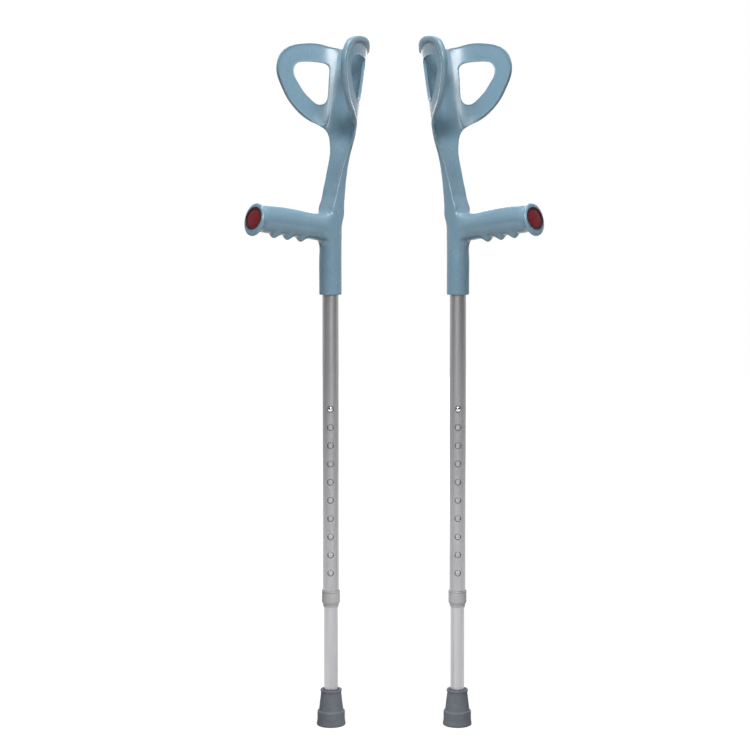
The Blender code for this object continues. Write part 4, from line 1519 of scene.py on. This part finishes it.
@dataclass(frozen=True)
class TubeFittings:
    """Collar, guide bush, snap button and leaf spring."""

    tubes: Tubes = Tubes()
    collar_radius: float = 0.0124
    cup_depth: float = 0.0150
    shoulder_drop: float = 0.0016
    chamfer: float = 0.0026
    neck_wall: float = 0.0008
    neck_length: float = 0.0032
    guide_head: float = 0.0060
    guide_plug: float = 0.0120
    guide_bore: float = 0.0060
    button_radius: float = 0.0037
    button_reach: float = 0.0135
    button_dome: float = 0.0022
    button_flange_radius: float = 0.0050
    button_flange: float = 0.0014
    button_seat: float = 0.0061
    spring_width: float = 0.0068
    spring_thickness: float = 0.0006
    spring_length: float = 0.0360
    spring_tail: float = 0.0060

    def collar(self) -> Mesh:
        """Bush on the upper tube's end: cup, bead, shoulder and thin neck.

        Returns:
            The mesh, from the floor up.
        """
        cup = self.tubes.upper_radius + SEAT_GAP
        guide = self.tubes.guide
        neck = guide + self.neck_wall
        seat = self.tubes.upper_bottom - SEAT_GAP
        top = seat + self.cup_depth
        shoulder = seat - self.shoulder_drop
        neck_top = shoulder - self.chamfer
        low = neck_top - self.neck_length
        radius = self.collar_radius
        corners = [(guide, low, 0.0002), (neck, low, 0.0003), (neck, neck_top, 0.0008)]
        corners += [(radius, shoulder, 0.0016), (radius, top - 0.0032, 0.0004)]
        corners += [(radius - 0.0007, top - 0.0029, 0.0002), (radius - 0.0007, top - 0.0022, 0.0002)]
        corners += [(radius + 0.0002, top - 0.0020, 0.0003), (radius + 0.0001, top, 0.0006)]
        corners += [(cup + 0.0002, top, 0.0003), (cup, top - 0.0012, 0.0002)]
        return turned("collar", [*corners, (cup, seat, 0.0), (guide, seat, 0.0)])

    def guide(self) -> Mesh:
        """Flanged plug in the lower tube's top end.

        Returns:
            The mesh, from the floor up.
        """
        plug = self.tubes.bore - SEAT_GAP
        head = self.tubes.lower_radius
        seat = self.tubes.lower_top + SEAT_GAP
        low, high = seat - self.guide_plug, seat + self.guide_head
        corners = [(self.guide_bore, low, 0.0002), (plug - 0.0004, low, 0.0003)]
        corners += [(plug, low + 0.0015, 0.0003), (plug, seat, 0.0), (head, seat, 0.0003)]
        return turned("guide", [*corners, (head, high, 0.0008), (self.guide_bore, high, 0.0004)])

    def button(self) -> Mesh:
        """Domed button on its flange.

        Returns:
            The mesh, along +Z from the tube's axis.
        """
        spring = self.button_reach - self.button_dome
        flange, seat = self.button_flange_radius, self.button_seat
        under = seat - self.button_flange
        corners = [(0.0, under, 0.0), (flange, under, 0.0002), (flange, seat, 0.0003)]
        corners.append((self.button_radius, seat, 0.0002))
        for angle in range(0, 90, 10):
            out, up = math.cos(math.radians(angle)), math.sin(math.radians(angle))
            corners.append((self.button_radius * out, spring + self.button_dome * up, 0.0))
        return turned("button", [*corners, (0.0, self.button_reach, 0.0)], facets=48)

    def spring(self, material: Material) -> Mesh:
        """Folded leaf behind the button, swept along its path.

        Args:
            material: its material.

        Returns:
            The mesh, with the button on +X.
        """
        half = self.spring_thickness / 2.0
        front = self.button_seat - self.button_flange - SEAT_GAP - half
        back = half + SEAT_GAP + 0.0002 - math.sqrt(self.tubes.bore**2 - (self.spring_width / 2.0) ** 2)
        fold = (front - back) / 2.0
        middle = (front + back) / 2.0
        path = [(front, BUTTON_HEIGHT + self.spring_tail)]
        for step in range(17):
            turn = math.pi * step / 16.0
            low = BUTTON_HEIGHT - self.spring_length - fold * math.sin(turn)
            path.append((middle + fold * math.cos(turn), low))
        path.append((back, BUTTON_HEIGHT + self.spring_tail))
        curve = bpy.data.curves.new("leaf_path", "CURVE")
        curve.dimensions = "3D"
        spline = curve.splines.new("POLY")
        spline.points.add(len(path) - 1)
        for point, (along, height) in zip(spline.points, path):
            point.co = (along, 0.0, height, 1.0)
        recipe = Recipe("leaf_sweep", width=self.spring_width, thickness=self.spring_thickness)
        line = recipe.node("GeometryNodeResampleCurve", Curve=recipe.start.outputs["Geometry"], Count=64)
        section = {"Width": recipe["width"], "Height": recipe["thickness"]}
        leaf = recipe.node("GeometryNodeCurvePrimitiveQuadrilateral", {"mode": "RECTANGLE"}, **section)
        recipe.serve(recipe.node("GeometryNodeCurveToMesh", Curve=line, Profile_Curve=leaf, Fill_Caps=True))
        return recipe.mesh("leaf", material, base=curve)

    def build(self, workshop: Workshop) -> None:
        """Make and dress the four fittings.

        Args:
            workshop: what dresses and keeps them.
        """
        workshop.dress("collar", Slot.TUBE_COLLAR, self.collar())
        workshop.dress("guide", Slot.GUIDE_BUSH, self.guide())
        leaf = self.spring(workshop.look(Slot.BUTTON_SPRING))
        workshop.dress("leaf", Slot.BUTTON_SPRING, leaf)
        workshop.dress("button", Slot.SNAP_BUTTON, self.button())


@dataclass(frozen=True)
class Foot:
    """Rubber ferrule with its treaded sole, and the steel disc in it."""

    tube_radius: float = LOWER_RADIUS
    base_radius: float = 0.0200
    band_radius: float = 0.0189
    cone_radius: float = 0.0168
    neck_radius: float = 0.0140
    flare_height: float = 0.0060
    band_height: float = 0.0195
    height: float = 0.0495
    sole: float = 0.0100
    lip: float = 0.0018
    tread_depth: float = 0.0015
    tread_width: float = 0.0030
    washer_thickness: float = 0.0015

    def ferrule(self) -> Mesh:
        """The rubber foot.

        Returns:
            The mesh, from the floor up.
        """
        bore = self.tube_radius + SEAT_GAP
        rim, top, base, lip = self.neck_radius, self.height, self.base_radius, self.lip
        groove = base / 2.0 - self.tread_width / 2.0
        far = groove + self.tread_width
        corners = [(0.0, 0.0, 0.0), (groove, 0.0, 0.0003), (groove + 0.0003, self.tread_depth, 0.0003)]
        corners += [(far - 0.0003, self.tread_depth, 0.0003), (far, 0.0, 0.0003)]
        corners += [(base - 0.0006, 0.0, 0.0010), (base, 0.0016, 0.0012)]
        corners.append((self.band_radius, self.flare_height + 0.0010, 0.0022))
        corners.append((self.band_radius, self.band_height, 0.0012))
        corners.append((self.cone_radius, self.band_height + 0.0010, 0.0009))
        corners += [(rim - 0.0002, top - lip * 2.2, 0.0010), (rim + 0.0007, top - lip * 1.5, 0.0009)]
        corners += [(rim + 0.0007, top, 0.0016), (rim - lip * 1.1, top, 0.0012)]
        corners += [(bore + 0.0008, top - lip * 1.2, 0.0006), (bore, top - lip * 2.0, 0.0006)]
        return turned("foot", [*corners, (bore, self.sole, 0.0), (0.0, self.sole, 0.0)], 6)

    def tread(self, material: Material) -> Mesh:
        """Short ribs that bridge the sole's groove, evenly round it.

        Args:
            material: their material.

        Returns:
            The ribs, just short of the floor.
        """
        sizes = {"reach": self.base_radius / 2.0, "length": self.tread_width + 0.0006}
        recipe = Recipe("tread_ribs", ribs=24, width=0.001, depth=self.tread_depth, **sizes)
        ring = recipe.node("GeometryNodeMeshCircle", Vertices=recipe["ribs"], Radius=recipe["reach"])
        turn = recipe.value("GeometryNodeInputIndex") * math.tau / recipe["ribs"]
        size = recipe.vector(X=recipe["length"], Y=recipe["width"], Z=recipe["depth"])
        rib = recipe.node("GeometryNodeMeshCube", Size=size)
        recipe.serve(recipe.repeated(ring, rib, recipe.vector(Z=turn)))
        mesh = recipe.mesh("tread", material)
        mesh.transform(Matrix.Translation((0.0, 0.0, self.tread_depth / 2.0 + 0.0002)))
        return mesh

    def washer(self) -> Mesh:
        """The steel disc that the tube's end stands on.

        Returns:
            The mesh, from the floor up.
        """
        bottom = self.sole + SEAT_GAP
        top = bottom + self.washer_thickness
        radius = self.tube_radius - SEAT_GAP
        corners = [(0.0, bottom, 0.0), (radius, bottom, 0.0002), (radius, top, 0.0002), (0.0, top, 0.0)]
        return turned("washer", corners)

    def build(self, workshop: Workshop) -> None:
        """Make and dress the foot, its tread and the disc in it.

        Args:
            workshop: what dresses and keeps them.
        """
        workshop.dress("foot", Slot.FERRULE, self.ferrule())
        tread = self.tread(workshop.look(Slot.FERRULE))
        workshop.dress("foot_tread", Slot.FERRULE, tread)
        workshop.dress("foot_washer", Slot.FERRULE_WASHER, self.washer())


@dataclass(frozen=True)
class Pair:
    """Where both crutches stand, and how their handles are turned."""

    grip_end: Matrix
    grip_heading: float = math.radians(43.0)
    sleeve_bottom: float = 0.5910

    def places(self, side: Side) -> dict[Frame, Matrix]:
        """Where each frame stands on one side.

        Args:
            side: the crutch, whose packed lower tube gives its place on the floor.

        Returns:
            The frames' places.
        """
        low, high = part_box(side.named("lower_tube"))
        stand = Matrix.Translation(((low.x + high.x) / 2.0, (low.y + high.y) / 2.0, 0.0))
        turn = Matrix.Rotation(-math.pi / 2.0 + side.value * self.grip_heading, 4, "Z")
        sleeve = stand @ turn @ Matrix.Translation((0.0, 0.0, self.sleeve_bottom))
        tube = stand @ Matrix.Rotation(-math.pi / 2.0, 4, "Z")
        lift = Matrix.Translation((0.0, 0.0, BUTTON_HEIGHT))
        button = tube @ lift @ Matrix.Rotation(math.pi / 2.0, 4, "Y")
        places = {Frame.SLEEVE: sleeve, Frame.GRIP_END: sleeve @ self.grip_end}
        return {**places, Frame.TUBE: tube, Frame.BUTTON: button}


@dataclass(frozen=True)
class SoftBox:
    """A large soft lamp aimed at the pair."""

    name: str
    place: Triple
    width: float
    height: float
    power: float
    side: Optional[Side] = None
    target: Triple = (0.0, 0.0, 0.5)

    def hang(self, made: Sequence[str]) -> None:
        """Put the lamp in the scene.

        Args:
            made: the pieces' names. A lamp with a side lights that crutch alone, because the
                photograph shows one crutch and its mirror image, light and all.
        """
        lamp = bpy.data.lights.new(self.name, "AREA")
        lamp.shape, lamp.energy = "RECTANGLE", self.power
        lamp.size, lamp.size_y = self.width, self.height
        item = bpy.data.objects.new(self.name, lamp)
        item.location = self.place
        aim = Vector(self.target) - Vector(self.place)
        item.rotation_euler = aim.to_track_quat("-Z", "Y").to_euler()
        item.visible_camera = False
        bpy.context.collection.objects.link(item)
        if self.side is not None:
            lit = bpy.data.collections.new(f"{self.name}_lights")
            for name in (*made, "floor"):
                if name.startswith((self.side.named(""), "floor")):
                    lit.objects.link(bpy.data.objects[name])
            item.light_linking.receiver_collection = lit


@dataclass(frozen=True)
class Studio:
    """White floor, soft lamps, a pale world and the camera."""

    camera_place: Triple = (0.0, -2.06973, 0.6248)
    camera_pitch: float = math.radians(2.469)
    focal_pixels: float = 1538.9
    frame_pixels: float = 750.0
    shift_x: float = -0.0256
    shift_y: float = -0.0500
    floor_size: float = 14.0
    floor_finish: Finish = Finish("floor_white", (0.30, 0.30, 0.30), 0.9)
    sky_levels: tuple[tuple[float, float], ...] = (
        (0.0, 0.20), (0.43, 0.12), (0.47, 0.03), (0.62, 0.03), (0.72, 0.12), (1.0, 0.28)
    )
    lamps: tuple[SoftBox, ...] = (
        SoftBox("left_crutch_key", (0.60, -2.3, 2.00), 1.0, 0.8, 57.0, Side.LEFT),
        SoftBox("right_crutch_key", (-0.60, -2.3, 2.00), 1.0, 0.8, 57.0, Side.RIGHT),
        SoftBox("top_box", (0.0, -0.3, 2.6), 1.4, 1.0, 26.0),
        SoftBox("back_box", (0.0, 2.6, 1.5), 2.4, 1.6, 24.0),
    )

    def build(self, made: Sequence[str]) -> None:
        """Set up the floor, the lamps, the world and the camera.

        Args:
            made: the pieces' names.
        """
        self._floor()
        self._world()
        for lamp in self.lamps:
            lamp.hang(made)
        self._camera()
        bpy.context.scene.view_settings.view_transform = "Standard"

    def _floor(self) -> None:
        """White floor that keeps the pair's soft shadow."""
        half = self.floor_size / 2.0
        mesh = bpy.data.meshes.new("floor")
        corners = [(-half, -half, 0.0), (half, -half, 0.0), (half, half, 0.0), (-half, half, 0.0)]
        mesh.from_pydata(corners, [], [(0, 1, 2, 3)])
        graph = FinishGraph(self.floor_finish)
        away = graph.length(graph.place)
        level = away.ramp(0.3, 2.5) * 0.45 + 0.70
        glow = {
            "Emission_Color": graph.node("ShaderNodeCombineColor", None, {0: level, 1: level, 2: level}),
            "Emission_Strength": self._seen(graph, away.ramp(4.0, 1.5)),
        }
        roughness = self.floor_finish.roughness
        mesh.materials.append(graph.finish(Roughness=roughness, Specular_IOR_Level=0.0, **glow))
        item = bpy.data.objects.new("floor", mesh)
        bpy.context.collection.objects.link(item)

    @staticmethod
    def _seen(graph: NodeGraph, mirrored: Number) -> Value:
        """1 for rays from the camera, or through or off the object.

        Args:
            graph: the floor's or the world's nodes.
            mirrored: how much of it rays off the object see.

        Returns:
            The share.
        """
        rays = graph.node("ShaderNodeLightPath").outputs
        kinds = ("Is Camera Ray", "Is Transmission Ray", "Is Glossy Ray")
        camera, through, glossy = (Value(graph, rays[kind]) for kind in kinds)
        return (camera + through + glossy * mirrored).clamped()

    def _world(self) -> None:
        """A pale world that is white to the camera."""
        world = bpy.data.worlds.new("studio")
        bpy.context.scene.world = world
        world.use_nodes = True
        graph = NodeGraph(world.node_tree)
        background = graph.tree.nodes["Background"]
        _, depth, height = graph.axes(graph.node("ShaderNodeTexCoord").outputs["Generated"])
        stops = [(place, (level, level, level, 1.0)) for place, level in self.sky_levels]
        sky = graph.node("ShaderNodeValToRGB", {"stops": stops}, Fac=height * 0.5 + 0.5)
        inputs = {0: self._seen(graph, depth.ramp(-0.35, 0.6)), 6: sky, 7: (1.0, 1.0, 1.0, 1.0)}
        colour = graph.node("ShaderNodeMix", {"data_type": "RGBA"}, inputs).outputs[2]
        graph.feed(background.inputs["Color"], colour)
        graph.feed(background.inputs["Strength"], 1.0)

    def _camera(self) -> None:
        """The camera at the photograph's place, pitched down instead of shifted far."""
        data = bpy.data.cameras.new("camera")
        data.sensor_width = 36.0
        data.lens = self.focal_pixels / self.frame_pixels * data.sensor_width
        data.shift_x, data.shift_y = self.shift_x, self.shift_y
        item = bpy.data.objects.new("camera", data)
        item.location = self.camera_place
        item.rotation_euler = (math.pi / 2.0 - self.camera_pitch, 0.0, 0.0)
        bpy.context.collection.objects.link(item)
        bpy.context.scene.camera = item


def main() -> None:
    """Load the frame, build the classes in order, and report how many pieces there are."""
    logging.basicConfig(level=logging.INFO, format="%(name)s: %(message)s", stream=sys.stdout)
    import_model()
    handle, tubes, workshop = Handle(), Tubes(), Workshop()
    for assembly in (handle, Reflector(), tubes, TubeFittings(tubes), Foot()):
        assembly.build(workshop)
    pair = Pair(handle.end_frame())
    for side in Side:
        workshop.hang(side, pair.places(side))
    Studio().build(workshop.made)
    LOG.info("%d pieces", len(workshop.made))


if __name__ == "__main__":
    main()
